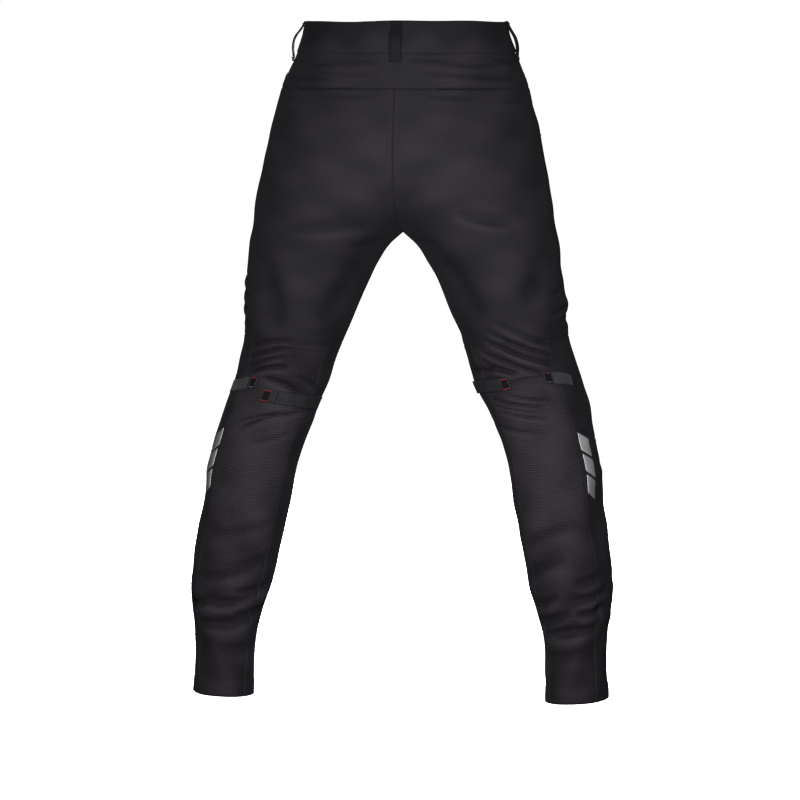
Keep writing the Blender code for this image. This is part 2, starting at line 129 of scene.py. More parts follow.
# Painted shade: how much darker the waistband's colour grows towards its top edge
WAIST_PAINTED_SHADE = 4.8
WAIST_BUCKLE = 0.7
GROOVE_HALF = 0.9
EDGE_STITCH = 2.0
SECOND_STITCH = 7.0
SEAT_STITCH = 2.2
SEAT_SECOND_STITCH = 8.0
BAND_STITCH = 2.6
TAB_STITCH = 2.5
LOOP_STITCH = 2.6
STRAP_STITCH = 1.4
HEM_STITCH = HEM_FOLD - 1.5
HEM_SOFTNESS = 0.8
SLIT_DEPTH = 1.3
SLIT_HALF = 1.8
WAIST_RELIEF = 0.7
WAIST_FULLNESS = 0.7
FRONT_REACH = 60.0
STRAP_CREASE = (9.0, -1.0, 0.0)

# Levels at which the columns of a panel are spaced evenly round the garment
WAIST_SPACING_LEVEL = 20.0
YOKE_SPACING_LEVEL = 70.0
FLY_SPACING_LEVEL = 120.0
THIGH_SPACING_LEVEL = 200.0
KNEE_SPACING_LEVEL = 0.5 * (KNEE_TOP + KNEE_BOTTOM)

# The ribbed panel: rows of points in a rib, where the ribs are fullest, and the rows past them
ROWS_IN_RIB = 4
RIB_FULL_LEVEL = 650.0
RIB_FULL_REACH = 75.0
RIB_LEAST = 0.45
RIB_BORDER = 3.0
STEPS_ABOVE_RIBS = (0.0, 0.8, 1.8, 3.2)
ROWS_BELOW_RIBS = 44
LOWER_SOFTNESS = 30.0
UPPER_SOFTNESS = 12.0

SECTION_COLUMNS = ("drop", "inner", "outer", "centre_y", "back", "front", "toe_out", "climb")
SECTIONS = (
    (0, -145, 145, -12, 104, 106, 0, 0),
    (24, -149, 149, -10, 107, 109, 0, 0),
    (46, -158, 158, -8, 110, 112, 0, 0),
    (90, -172, 176, -1, 117, 113, 0, 0),
    (145, -146, 191, 6, 124, 113, 0, 0),
    (203, -96, 203, 13, 126, 113, 0, 0),
    (261, -42, 214, 17, 118, 110, 0, 0),
    (302, 0, 220, 18, 109, 107, 0, 0),
    (319, 19, 223, 18, 105, 105, 1, 0.01),
    (348, 39, 226, 17, 99, 101, 3, 0.03),
    (377, 53, 230, 17, 93, 97, 5, 0.05),
    (406, 66, 232, 16, 88, 93, 7, 0.07),
    (435, 78.5, 232, 14, 82, 88, 8, 0.085),
    (464, 91.5, 234, 12, 77, 84, 9, 0.09),
    (493, 103, 241, 10, 73, 82, 9, 0.09),
    (522, 112, 250, 9, 72, 81, 9, 0.09),
    (551, 125, 260, 9, 72, 79, 9, 0.09),
    (580, 135, 269, 12, 73, 76, 9, 0.09),
    (609, 146, 278, 17, 75, 73, 9, 0.09),
    (638, 155, 285, 22, 76, 71, 9, 0.09),
    (696, 165, 291, 31, 74, 66, 9, 0.085),
    (754, 177, 301, 41, 68, 63, 9, 0.08),
    (812, 189, 306, 51, 61, 58, 9, 0.07),
    (850, 202, 303, 57, 56, 54, 9, 0.06),
    (880, 209, 299, 60, 53, 52, 9, 0.05),
    (972, 214, 301, 67, 51, 51, 9, 0.05),
)
SECTION = dict(zip(SECTION_COLUMNS, np.array(SECTIONS, dtype=float).T))

# The largest folds, which the solids have too: a line from one level and turn to another
FOLD_COLUMNS = ("start_level", "start_turn", "end_level", "end_turn", "half_width", "rise")
FOLDS = {
    "left": (
        (435, 0.66, 615, 0.65, 32, 10),
        (450, 0.84, 605, 0.82, 28, 6),
        (505, 0.06, 545, 0.12, 16, 3),
        (522, 0.45, 500, 0.22, 5, -3.0),
        (511, 0.46, 482, 0.25, 6, 2.5),
        (500, 0.45, 476, 0.27, 5, -2.0),
        (519, 0.34, 542, 0.14, 6, -3.5),
        (508, 0.30, 524, 0.12, 9, 3.0),
        (604, 0.37, 560, 0.13, 5, -3.0),
        (590, 0.36, 556, 0.20, 5, 2.0),
        (283, 0.14, 294, 0.31, 8, -3.0),
        (835, 0.47, 862, 0.45, 7, -5.0),
        (820, 0.07, 846, 0.10, 10, 5.0),
    ),
    "right": (
        (425, 0.64, 620, 0.62, 34, 12),
        (450, 0.84, 605, 0.82, 28, 6),
        (450, 0.06, 575, 0.055, 26, 8),
        (402, 0.50, 432, 0.53, 12, 5),
        (460, 0.22, 508, 0.45, 5, -3.5),
        (476, 0.20, 514, 0.40, 6, 2.5),
        (452, 0.26, 494, 0.46, 6, 2.0),
        (509, 0.04, 500, 0.20, 7, -4.0),
        (499, 0.18, 512, 0.34, 7, -3.0),
        (526, 0.22, 524, 0.37, 7, -5.0),
        (541, 0.10, 559, 0.35, 4, -3.0),
        (550, 0.11, 567, 0.34, 4, -2.5),
        (559, 0.13, 575, 0.34, 4, -2.5),
        (268, 0.20, 288, 0.37, 8, -3.5),
        (640, 0.46, 850, 0.46, 20, -4.0),
        (832, 0.40, 858, 0.44, 8, -5.0),
    ),
}

# The smaller creases: as a fold, with the bend of its line; a lip stands along each one's lower side
CREASE_COLUMNS = ("start_level", "start_turn", "end_level", "end_turn", "half_width", "rise", "bend")
BACK_CREASES = {
    "left": (
        (58, 0.05, 54, 0.23, 3.5, -0.9, 1.5),
        (66, 0.09, 64, 0.34, 3.0, -1.0, -2.0),
        (75, 0.04, 72, 0.26, 3.0, -0.8, 1.5),
        (83, 0.13, 80, 0.41, 3.0, -0.9, 1.0),
        (53, 0.27, 58, 0.44, 3.5, -1.1, 2.0),
        (70, 0.36, 73, 0.49, 3.0, -1.2, 1.0),
        (107, 0.06, 105, 0.20, 3.5, -0.8, 1.0),
        (113, 0.24, 109, 0.39, 4.0, -0.7, 1.5),
        (288, 0.11, 296, 0.33, 6.0, -1.3, 4.0),
        (300, 0.06, 322, 0.16, 7.0, -1.2, 3.0),
        (310, 0.11, 438, 0.19, 13.0, -1.3, 6.0),
        (330, 0.37, 462, 0.31, 12.0, -1.4, -8.0),
        (370, 0.50, 384, 0.43, 4.5, -1.8, 2.0),
        (392, 0.50, 409, 0.42, 4.5, -2.0, 2.5),
        (415, 0.50, 431, 0.43, 4.0, -1.7, 2.0),
        (438, 0.50, 453, 0.41, 4.0, -1.6, 2.0),
        (484, 0.43, 462, 0.24, 4.0, -1.2, -4.0),
        (497, 0.41, 474, 0.25, 3.5, -1.4, -3.0),
        (509, 0.39, 487, 0.26, 3.0, -1.7, -3.0),
        (519, 0.39, 502, 0.24, 3.2, -2.2, -5.0),
        (519, 0.33, 541, 0.16, 3.0, -1.9, -4.0),
        (512, 0.21, 538, 0.08, 3.5, -1.3, -3.0),
        (560, 0.10, 574, 0.30, 3.0, -1.2, 3.0),
        (585, 0.37, 565, 0.19, 2.8, -1.2, -2.0),
        (597, 0.35, 571, 0.22, 3.0, -1.8, -2.0),
        (612, 0.32, 592, 0.14, 4.0, -1.0, 3.0),
        (716, 0.12, 742, 0.38, 8.0, -1.1, 5.0),
        (762, 0.08, 788, 0.31, 8.0, -1.3, 5.0),
        (786, 0.16, 802, 0.40, 7.0, -1.6, 5.0),
        (805, 0.05, 822, 0.24, 6.0, -2.2, 4.0),
        (824, 0.12, 838, 0.36, 6.0, -2.4, 5.0),
        (829, 0.30, 847, 0.49, 6.0, -2.4, 4.0),
        (843, 0.04, 853, 0.22, 6.0, -2.5, 4.0),
        (858, 0.10, 866, 0.42, 7.0, -2.6, 5.0),
        (896, 0.05, 902, 0.30, 8.0, -1.5, 4.0),
    ),
    "right": (
        (56, 0.04, 60, 0.20, 3.5, -0.8, -1.5),
        (63, 0.12, 60, 0.37, 3.0, -1.0, 2.0),
        (74, 0.07, 77, 0.30, 3.0, -0.9, 1.5),
        (82, 0.16, 84, 0.42, 3.0, -0.9, -1.0),
        (54, 0.30, 60, 0.47, 4.0, -1.3, 2.0),
        (71, 0.37, 66, 0.49, 3.0, -1.2, 1.0),
        (106, 0.08, 108, 0.24, 3.5, -0.7, 1.0),
        (115, 0.28, 111, 0.42, 4.0, -0.8, 1.5),
        (271, 0.21, 287, 0.35, 5.0, -1.5, 4.0),
        (298, 0.06, 318, 0.17, 7.0, -1.2, 3.0),
        (318, 0.13, 440, 0.22, 13.0, -1.3, -6.0),
        (335, 0.38, 420, 0.33, 12.0, -1.3, 8.0),
        (388, 0.50, 399, 0.43, 4.0, -1.4, 2.0),
        (419, 0.52, 428, 0.43, 4.0, -2.0, 2.0),
        (432, 0.24, 476, 0.45, 4.0, -1.4, 5.0),
        (444, 0.21, 490, 0.43, 3.5, -1.7, 5.0),
        (456, 0.19, 502, 0.42, 3.2, -1.9, 4.0),
        (466, 0.24, 506, 0.43, 3.0, -1.6, 4.0),
        (470, 0.16, 512, 0.36, 3.2, -1.8, 3.0),
        (484, 0.15, 512, 0.27, 3.2, -1.4, 2.0),
        (505, 0.06, 508, 0.28, 3.2, -2.0, -7.0),
        (520, 0.24, 516, 0.37, 2.8, -1.0, -2.0),
        (536, 0.20, 548, 0.36, 3.0, -1.3, 3.0),
        (541, 0.12, 558, 0.33, 3.0, -1.6, 2.0),
        (549, 0.12, 566, 0.33, 2.6, -1.4, 2.0),
        (558, 0.14, 573, 0.33, 2.6, -1.4, 2.0),
        (575, 0.08, 590, 0.28, 3.5, -1.2, 3.0),
        (590, 0.42, 604, 0.50, 4.0, -1.3, 2.0),
        (722, 0.38, 748, 0.12, 8.0, -1.2, -5.0),
        (770, 0.30, 796, 0.08, 8.0, -1.4, -5.0),
        (790, 0.46, 804, 0.30, 7.0, -1.9, 3.0),
        (812, 0.48, 826, 0.28, 6.0, -2.4, 4.0),
        (818, 0.24, 832, 0.06, 6.0, -2.2, 4.0),
        (836, 0.46, 846, 0.30, 6.0, -2.4, 3.0),
        (842, 0.28, 854, 0.08, 6.0, -2.5, 4.0),
        (860, 0.44, 868, 0.12, 7.0, -2.6, 5.0),
        (898, 0.34, 904, 0.08, 8.0, -1.5, 4.0),
    ),
}
FRONT_CREASES = (
    (58, 0.58, 62, 0.78, 4.0, -1.0, 2.0),
    (74, 0.66, 70, 0.88, 4.0, -1.0, 2.0),
    (228, 0.73, 262, 0.93, 5.0, -1.7, 4.0),
    (248, 0.79, 284, 0.95, 5.0, -2.1, 3.0),
    (264, 0.69, 294, 0.92, 5.5, -2.0, 5.0),
    (300, 0.72, 312, 0.95, 5.0, -1.6, 3.0),
    (330, 0.62, 362, 0.84, 9.0, -1.4, 6.0),
    (390, 0.58, 404, 0.78, 6.0, -1.3, 4.0),
    (418, 0.74, 426, 0.94, 5.0, -1.5, 4.0),
    (438, 0.55, 444, 0.80, 4.5, -1.8, -4.0),
    (452, 0.60, 458, 0.91, 4.0, -1.8, -4.0),
    (472, 0.88, 486, 0.97, 4.5, -1.5, 2.0),
    (520, 0.90, 528, 0.98, 4.5, -1.6, 1.0),
    (560, 0.89, 552, 0.97, 4.5, -1.5, 1.0),
    (606, 0.57, 614, 0.90, 4.5, -2.0, 4.0),
    (622, 0.62, 632, 0.90, 5.0, -1.8, 5.0),
    (640, 0.55, 652, 0.80, 5.0, -1.5, 4.0),
    (690, 0.60, 716, 0.92, 9.0, -1.1, 6.0),
    (752, 0.56, 776, 0.86, 8.0, -1.3, 5.0),
    (798, 0.55, 812, 0.80, 6.0, -2.0, 4.0),
    (820, 0.66, 834, 0.94, 6.0, -2.3, 4.0),
    (838, 0.54, 850, 0.80, 6.0, -2.4, 5.0),
    (856, 0.68, 866, 0.95, 7.0, -2.4, 5.0),
    (900, 0.60, 906, 0.88, 8.0, -1.5, 4.0),
)
CREASE_GAIN = 1.6
FRONT_SHIFT = {"left": (0.0, 0.0), "right": (5.0, -0.018)}

# Slow unevenness of the cloth: waves along the level and round the leg, and each one's rise
WAVE_COLUMNS = ("level_length", "turn_length", "phase", "rise")
WAVES = ((83, 0.41, 0.4, 0.35), (57, -0.29, 2.1, 0.28), (131, 0.17, 4.2, 0.40), (39, 0.23, 1.3, 0.16))

STRAP_COLUMNS = ("side", "name", "seam_turn", "tab_turn", "tip_turn", "seam_level", "tip_level", "width")
STRAPS = (
    ("left", "outer", 0.495, 0.370, 0.333, 543, 527, 17),
    ("left", "inner", 0.006, 0.248, 0.303, 553, 544, 18),
    ("right", "outer", 0.495, 0.387, 0.355, 527, 516, 17),
    ("right", "inner", 0.006, 0.198, 0.235, 527, 521, 17),
)
REFLECTOR_COLUMNS = ("name", "level", "length")
REFLECTORS = (("top", 597, 25), ("middle", 626, 25), ("low", 655, 26))
REFLECTOR_TURNS = (0.418, 0.466)
REFLECTOR_SLANT = 12.0
LOOP_COLUMNS = ("name", "side", "turn", "bow")
LOOPS = (
    ("back", "left", 0.0, 7.0),
    ("left", "left", 0.485, 10.0),
    ("right", "right", 0.470, 8.0),
    ("front_left", "left", 0.84, 7.0),
    ("front_right", "right", 0.84, 7.0),
)
BACK_POCKET_TURNS = (0.11, 0.30)

# The lower leg's pieces but the ribbed one; sewn names the borders that are topstitched
LEG_COLUMNS = ("name", "first_level", "last_level", "first_turn", "last_turn", "sewn")
LEG_PIECES = (
    ("knee_panel", KNEE_TOP, KNEE_BOTTOM, SIDE_SEAM, 1.0, ()),
    ("shin_panel", KNEE_BOTTOM, HEM, SIDE_SEAM, 1.0, ("top",)),
    ("calf_inner", KNEE_TOP, HEM, 0.0, RIB_INNER_TURN, ("top", "start", "end")),
    ("calf_outer", KNEE_TOP, HEM, RIB_OUTER_TURN, SIDE_SEAM, ("top", "start", "end")),
)

# Cloths: darkest and palest colour, gloss, yarns a metre, yarn depth in mm, sheen, nap, twill's angle, mottle
CLOTH_COLUMNS = ("name", "dark", "light", "roughness", "weave", "depth", "sheen", "nap", "twill", "heather")
CLOTHS = (
    ("shell_cloth", (0.015, 0.0138, 0.0167), (0.047, 0.0432, 0.0523), 0.72, 420, 0.1, 0.04, 0.0, 0.9, 0.35),
    # The next cloth is the shell cloth at half brightness: painted shade for the belt loops and the
    # waistband's tab
    ("waist_cloth", (0.008, 0.0074, 0.009), (0.0235, 0.0216, 0.0262), 0.72, 420, 0.1, 0.04, 0.0, 0.9, 0.35),
    ("stretch_cloth", (0.0118, 0.0103, 0.0121), (0.064, 0.056, 0.0656), 0.78, 300, 0.15, 0.06, 0.0, 0.0, 0.35),
    ("pocket_cloth", (0.008, 0.008, 0.009), (0.020, 0.019, 0.022), 0.85, 500, 0.1, 0.0, 0.0, 0.0, 0.35),
    ("strap_webbing", (0.024, 0.024, 0.027), (0.085, 0.083, 0.092), 0.88, 260, 0.3, 0.15, 1.6, 0.0, 0.6),
    ("smooth_strap", (0.020, 0.019, 0.022), (0.052, 0.050, 0.057), 0.75, 300, 0.2, 0.05, 0.0, 0.0, 0.35),
)
# Threads, film and metal: the same colours and gloss, then grains a metre and their depth in mm
PLAIN_COLUMNS = ("name", "dark", "light", "roughness", "metallic", "scale", "depth")
PLAIN_MATERIALS = (
    ("dark_thread", (0.013, 0.012, 0.014), (0.040, 0.038, 0.042), 0.6, 0.0, 900, 0.1),
    ("red_thread", (0.16, 0.010, 0.022), (0.42, 0.055, 0.085), 0.55, 0.0, 900, 0.1),
    ("pale_thread", (0.10, 0.060, 0.068), (0.24, 0.16, 0.17), 0.6, 0.0, 900, 0.1),
    ("reflecting_film", (0.30, 0.30, 0.305), (0.39, 0.39, 0.395), 0.45, 0.10, 1500, 0.05),
    ("dark_metal", (0.05, 0.05, 0.055), (0.10, 0.10, 0.11), 0.32, 1.0, 600, 0.04),
)
FINISH_COLUMNS = ("part", "material", "slot")
FINISHES = (
    ("shell", "shell_cloth", "shell_cloth"),
    # The waist finish is the shell cloth darkened as painted shade
    ("waist", "waist_cloth", "shell_cloth"),
    ("stretch", "stretch_cloth", "stretch_cloth"),
    ("pocket", "pocket_cloth", "pocket_cloth"),
    ("webbing", "strap_webbing", "strap_webbing"),
    ("smooth_strap", "smooth_strap", "strap_webbing"),
    ("film", "reflecting_film", "reflecting_film"),
    ("metal", "dark_metal", "dark_metal"),
)
CLOTH_SPECULAR = 0.22
SHEEN_ROUGHNESS = 0.45
FUZZ_SCALE = 900.0
CLOUD_SCALE = 7.0
SPECK_SCALE = 420.0
CLOUD_WEIGHT = 0.30
# The height on each mesh colours the cloth: paler on ridges, as rubbed cloth is, and darker in creases and
# seams as painted shade
SHADE_AND_WEAR_WEIGHT = 0.55
SHADE_AND_WEAR_LOW = -2.0
SHADE_AND_WEAR_HIGH = 1.6
DYE_START = -0.10


def named(columns, rows):
    """The rows of a table, each with its columns' names."""
    return [dict(zip(columns, row)) for row in rows]


def lattice(levels, turns):
    """The level and the turn at every point of a panel's grid."""
    return np.meshgrid(levels, turns, indexing="ij")


def hump(away, half):
    """One at nought and soft to nothing on both sides."""
    return np.exp(-((away / half) ** 2))


def curve_through(column, drop):
    """Reads one column of the section table as a smooth curve."""
    rows = SECTION["drop"]
    values = SECTION[column]
    slopes = np.gradient(values, rows)
    low = np.clip(np.searchsorted(rows, drop) - 1, 0, len(rows) - 2)
    span = rows[low + 1] - rows[low]
    part = (drop - rows[low]) / span
    rest = 1.0 - part
    ends = values[low] * (1 + 2 * part) * rest**2 + values[low + 1] * (1 + 2 * rest) * part**2
    leans = (slopes[low] * rest - slopes[low + 1] * part) * part * rest * span
    return ends + leans


def leg_only(column, drop):
    """A column that is nought above the crotch."""
    return np.where(drop > CROTCH, curve_through(column, drop), 0.0)


def ring_shape(drop, turn):
    """The outline of one side at one height: distance from the middle plane, angle, share of its depth."""
    inner = curve_through("inner", drop)
    outer = curve_through("outer", drop)
    centre = 0.5 * (outer + inner)
    half_width = 0.5 * (outer - inner)
    reach = np.clip(centre / half_width, 0.0, 1.0)
    half_angle = np.arccos(-reach)
    spin = 1.0 - 2.0 * turn
    crowding = 1.0 + 3.0 * reach**4
    angle = np.sign(spin) * (np.pi * np.abs(spin) - (np.pi - half_angle) * np.abs(spin) ** crowding)
    x = centre + half_width * np.cos(angle)
    ease = MIDDLE_EASE * (1.0 - reach**2)
    eased = np.where(inner < 0.0, np.hypot(x, ease * (1.0 - (x / outer) ** 2)), x)
    off_centre = np.clip(np.abs(eased - centre) / half_width, 0.0, 1.0)
    depth = (1.0 - off_centre**ROUNDNESS) ** (1.0 / ROUNDNESS)
    return x, angle, depth


def seam_fade(turn):
    """Fades to nothing at the middle and inside-leg seams, where a fold would part the two panels."""
    return np.clip(np.minimum(turn, 1.0 - turn) / 0.03, 0.0, 1.0)


def fold_rise(side, level, turn):
    """How far the largest folds move the skin out."""
    rise = np.zeros(np.broadcast(level, turn).shape)
    for fold in named(FOLD_COLUMNS, FOLDS[side]):
        run_x = (fold["end_turn"] - fold["start_turn"]) * GIRTH
        run_y = fold["end_level"] - fold["start_level"]
        from_x = (turn - fold["start_turn"]) * GIRTH
        from_y = level - fold["start_level"]
        along = np.clip((from_x * run_x + from_y * run_y) / (run_x**2 + run_y**2), 0.0, 1.0)
        away = np.hypot(from_x - along * run_x, from_y - along * run_y)
        rise = rise + fold["rise"] * 4.0 * along * (1.0 - along) * hump(away, fold["half_width"])
    return rise * seam_fade(turn)


def crease_rows(side):
    """The creases of one side, with those of the hidden front a little different on the right."""
    down, round_by = FRONT_SHIFT[side]
    front = [(row[0] + down, row[1] + round_by, row[2] + down, row[3] + round_by, *row[4:])
             for row in FRONT_CREASES]
    straps = [(strap["seam_level"], strap["seam_turn"], strap["tip_level"], strap["tip_turn"], *STRAP_CREASE)
              for strap in named(STRAP_COLUMNS, STRAPS) if strap["side"] == side]
    return [*BACK_CREASES[side], *front, *straps]


def relief(side, level, turn):
    """Small creases and the cloth's slow unevenness, out from the skin."""
    rise = np.zeros(np.broadcast(level, turn).shape)
    for crease in named(CREASE_COLUMNS, crease_rows(side)):
        run_x = (crease["end_turn"] - crease["start_turn"]) * GIRTH
        run_y = crease["end_level"] - crease["start_level"]
        length = np.hypot(run_x, run_y)
        from_x = (turn - crease["start_turn"]) * GIRTH
        from_y = level - crease["start_level"]
        along = (from_x * run_x + from_y * run_y) / length**2
        inside = np.clip(along, 0.0, 1.0)
        taper = (4.0 * inside * (1.0 - inside)) ** 0.7
        side_step = (from_y * abs(run_x) - from_x * run_y * np.sign(run_x or 1.0)) / length
        off = side_step - crease["bend"] * 4.0 * inside * (1.0 - inside)
        away = np.hypot(off, (along - inside) * length)
        half = crease["half_width"]
        trough = hump(away, half)
        lip = hump(off - 2.0 * half, 1.4 * half)
        rise = rise + CREASE_GAIN * crease["rise"] * taper * (trough - 0.5 * lip)
    for wave in named(WAVE_COLUMNS, WAVES):
        phase = 2 * np.pi * (level / wave["level_length"] + turn / wave["turn_length"]) + wave["phase"]
        rise = rise + wave["rise"] * np.sin(phase)
    return rise * seam_fade(turn)


def skin(side, level, turn):
    """A point on the garment's form, in millimetres."""
    sign = 1.0 if side == "left" else -1.0
    from_seam = ring_shape(level, turn)[0] - np.maximum(curve_through("inner", level), 0.0)
    drop = level - leg_only("climb", level) * from_seam
    x, angle, depth = ring_shape(drop, turn)
    behind = curve_through("back", drop)
    before = curve_through("front", drop)
    half_width = 0.5 * (curve_through("outer", drop) - curve_through("inner", drop))
    y = np.where(angle >= 0.0, behind, -before) * depth
    out_x = np.where(angle >= 0.0, behind, before) * np.cos(angle)
    out_y = half_width * np.sin(angle)
    scale = fold_rise(side, level, turn) / np.hypot(out_x, out_y)
    x = x + out_x * scale
    y = y + out_y * scale
    centre_x = 0.5 * (curve_through("outer", drop) + curve_through("inner", drop))
    toe_out = np.radians(leg_only("toe_out", drop))
    turned_x = centre_x + (x - centre_x) * np.cos(toe_out) - y * np.sin(toe_out)
    turned_y = (x - centre_x) * np.sin(toe_out) + y * np.cos(toe_out)
    place_y = curve_through("centre_y", drop) + turned_y
    return np.stack(np.broadcast_arrays(sign * turned_x, place_y, ORIGIN_LEVEL - drop), axis=-1)


def unit(vectors):
    """Vectors of length one."""
    return vectors / np.maximum(np.linalg.norm(vectors, axis=-1, keepdims=True), 1e-9)


def outward(side, level, turn):
    """The direction square to the form; both pieces that meet at a seam get the same one."""
    sign = 1.0 if side == "left" else -1.0
    step = 0.004

    def at(place):
        ahead = skin(side, level, place + step) - skin(side, level, place - step)
        down = skin(side, level + 1.0, place) - skin(side, level - 1.0, place)
        return unit(sign * np.cross(ahead, down))

    clear = np.clip(turn, step, 1.0 - step)
    here = at(clear)
    across_leg = at(1.0 - clear)
    across_middle = here * np.array((-1.0, 1.0, 1.0))
    in_leg = (np.broadcast_to(level, turn.shape) > CROTCH)[..., None]
    partner = np.where(in_leg, across_leg, across_middle)
    at_seam = (np.abs(turn - clear) > 0.0)[..., None]
    return np.where(at_seam, unit(here + partner), here)


def spaced(length, step=MESH_STEP):
    """Shares from 0 to 1 of a length, closer together near both ends, where the seams are."""
    near = np.array(NEAR_SEAM)
    if length < 3.0 * near[-1]:
        return np.linspace(0.0, 1.0, max(9, int(length / 1.2)))
    middle = np.linspace(near[-1], length - near[-1], max(3, int((length - 2 * near[-1]) / step)))
    return np.concatenate((near[:-1], middle, length - near[-2::-1])) / length


def levels_between(first, last):
    """The levels of a panel's rows."""
    return first + (last - first) * spaced(last - first)


def turns_between(side, level, first, last):
    """The turns of a panel's columns, by the true length round the garment at one level."""
    turn = np.linspace(first, last, 200)
    points = skin(side, np.full(turn.shape, float(level)), turn)
    lengths = np.concatenate(([0.0], np.cumsum(np.linalg.norm(np.diff(points, axis=0), axis=-1))))
    return np.interp(spaced(lengths[-1]) * lengths[-1], lengths, turn)


def pocket_line(level):
    """The slanted mouth of the hand pocket, from the waistband down to the side seam."""
    share = np.clip((POCKET_END - level) / (POCKET_END - WAISTBAND_SEAM), 0.0, 1.0)
    return SIDE_SEAM + (POCKET_TOP_TURN - SIDE_SEAM) * share


def pull_in(grid, gap=SHELL_GAP):
    """Moves the border of a grid of points a little inwards, so that neighbours don't share it."""
    grid = grid.copy()
    grid[0] += unit(grid[1] - grid[0]) * gap
    grid[-1] += unit(grid[-2] - grid[-1]) * gap
    grid[:, 0] += unit(grid[:, 1] - grid[:, 0]) * gap
    grid[:, -1] += unit(grid[:, -2] - grid[:, -1]) * gap
    return grid


def distances(grid):
    """How far each point of a grid is from each of its four borders, along the cloth."""
    across = np.linalg.norm(np.diff(grid, axis=1), axis=-1)
    from_start = np.concatenate((np.zeros((len(grid), 1)), np.cumsum(across, axis=1)), axis=1)
    down = np.linalg.norm(np.diff(grid, axis=0), axis=-1)
    from_top = np.concatenate((np.zeros((1, grid.shape[1])), np.cumsum(down, axis=0)), axis=0)
    return {"start": from_start, "end": from_start[:, -1:] - from_start,
            "top": from_top, "bottom": from_top[-1:] - from_top}


def fading(away, reach, softness):
    """One up to a distance and nothing past it, with a soft step between."""
    return 1.0 / (1.0 + np.exp(np.clip((away - reach) / softness, -30.0, 30.0)))


def seam_relief(away, along, rows):
    """The cloth rolls in at a seam, puckers along it and stands up over the seam allowance."""
    rise = -SEAM_DEPTH * hump(away, SEAM_WIDTH)
    ripple = np.sin(2 * np.pi * along / PUCKER_PITCH + 1.9 * np.sin(along / 31.0))
    rise = rise + PUCKER_RISE * ripple * np.exp(-away / PUCKER_REACH) * (1.0 - np.exp(-away / 2.0))
    if rows:
        rise = rise + ALLOWANCE_RISE * fading(away, rows[-1] + 2.0, 0.6)
        for row in rows:
            rise = rise - STITCH_GROOVE * hump(away - row, GROOVE_HALF)
    return rise


def rounded_edge(away, thick):
    """A free edge of cloth is rounded off by half its thickness."""
    radius = 0.5 * thick
    inside = np.clip(1.0 - away / radius, 0.0, 1.0)
    return -radius * (1.0 - np.sqrt(1.0 - inside**2))


def mesh_object(name, vertices, faces, material, uv=None, shade_and_wear=None):
    """A smooth mesh on the garment's one body, with an optional cloth map and a height for rubbed paleness and
    painted shade.
    """
    mesh = bpy.data.meshes.new(name)
    mesh.from_pydata((np.asarray(vertices) * MM).tolist(), [], faces)
    mesh.materials.append(material)
    mesh.shade_smooth()
    if uv is not None:
        layer = mesh.uv_layers.new(name="cloth")
        corner = np.zeros(len(mesh.loops), dtype=np.int32)
        mesh.loops.foreach_get("vertex_index", corner)
        layer.data.foreach_set("uv", (np.asarray(uv)[corner] * MM).ravel())
    if shade_and_wear is not None:
        height = mesh.attributes.new("shade_and_wear", "FLOAT", "POINT")
        height.data.foreach_set("value", np.asarray(shade_and_wear, dtype=np.float32))
    item = bpy.data.objects.new(name, mesh)
    bpy.context.scene.collection.objects.link(item)
    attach(item, "root")
    return item


def shell(name, outer, inner, material, shade_and_wear, kept_rows=None, ring=False, mirrored=False):
    """A closed thin shell between two grids. The inner grid has only the kept rows."""
    rows, columns = outer.shape[:2]
    kept = np.arange(rows) if kept_rows is None else np.asarray(kept_rows)
    base = rows * columns
    last = len(kept) - 1
    faces = []
    for column in range(columns if ring else columns - 1):
        beside = (column + 1) % columns
        for row in range(rows - 1):
            here = row * columns
            faces.append((here + column, here + beside, here + columns + beside, here + columns + column))
        for row in range(last):
            here = base + row * columns
            faces.append((here + beside, here + column, here + columns + column, here + columns + beside))
        end = (rows - 1) * columns
        inner_end = base + last * columns
        faces.append((column, base + column, base + beside, beside))
        faces.append((end + beside, inner_end + beside, inner_end + column, end + column))
    if not ring:
        for row in range(last):
            for column, flip in ((0, 1), (columns - 1, -1)):
                border = [step * columns + column for step in range(kept[row], kept[row + 1] + 1)]
                border += [base + (row + 1) * columns + column, base + row * columns + column]
                faces.append(tuple(border[::flip]))
    if mirrored:
        faces = [face[::-1] for face in faces]
    away = distances(outer)
    uv = np.stack((away["start"], away["top"]), axis=-1)
    vertices = np.concatenate((outer.reshape(-1, 3), inner.reshape(-1, 3)))
    uv = np.concatenate((uv.reshape(-1, 2), uv[kept].reshape(-1, 2)))
    shade_and_wear = np.concatenate((shade_and_wear.ravel(), shade_and_wear[kept].ravel()))
    return mesh_object(name, vertices, faces, material, uv, shade_and_wear)


def bars(name, starts, ends, normals, material, width=THREAD_WIDTH, height=THREAD_HEIGHT):
    """One joined mesh of short threads, each from a start to an end, bowed up in its middle."""
    along = unit(ends - starts)
    across = unit(np.cross(normals, along)) * 0.5 * width
    rings = []
    for share, size, rise in ((0.0, 0.4, -0.25), (0.5, 1.0, 0.6), (1.0, 0.4, -0.25)):
        middle = starts + (ends - starts) * share + normals * height * rise
        up = normals * 0.5 * height * size
        rings += [middle + across * size, middle + up, middle - across * size, middle - up]
    vertices = np.stack(rings, axis=1).reshape(-1, 3)
    count = len(starts)
    pattern = []
    for ring in (0, 4):
        for corner in range(4):
            beside = (corner + 1) % 4
            pattern.append((ring + corner, ring + beside, ring + 4 + beside, ring + 4 + corner))
    pattern += [(3, 2, 1, 0), (8, 9, 10, 11)]
    faces = (np.arange(count)[:, None, None] * 12 + np.array(pattern)[None]).reshape(-1, 4)
    return mesh_object(name, vertices, faces.tolist(), material)


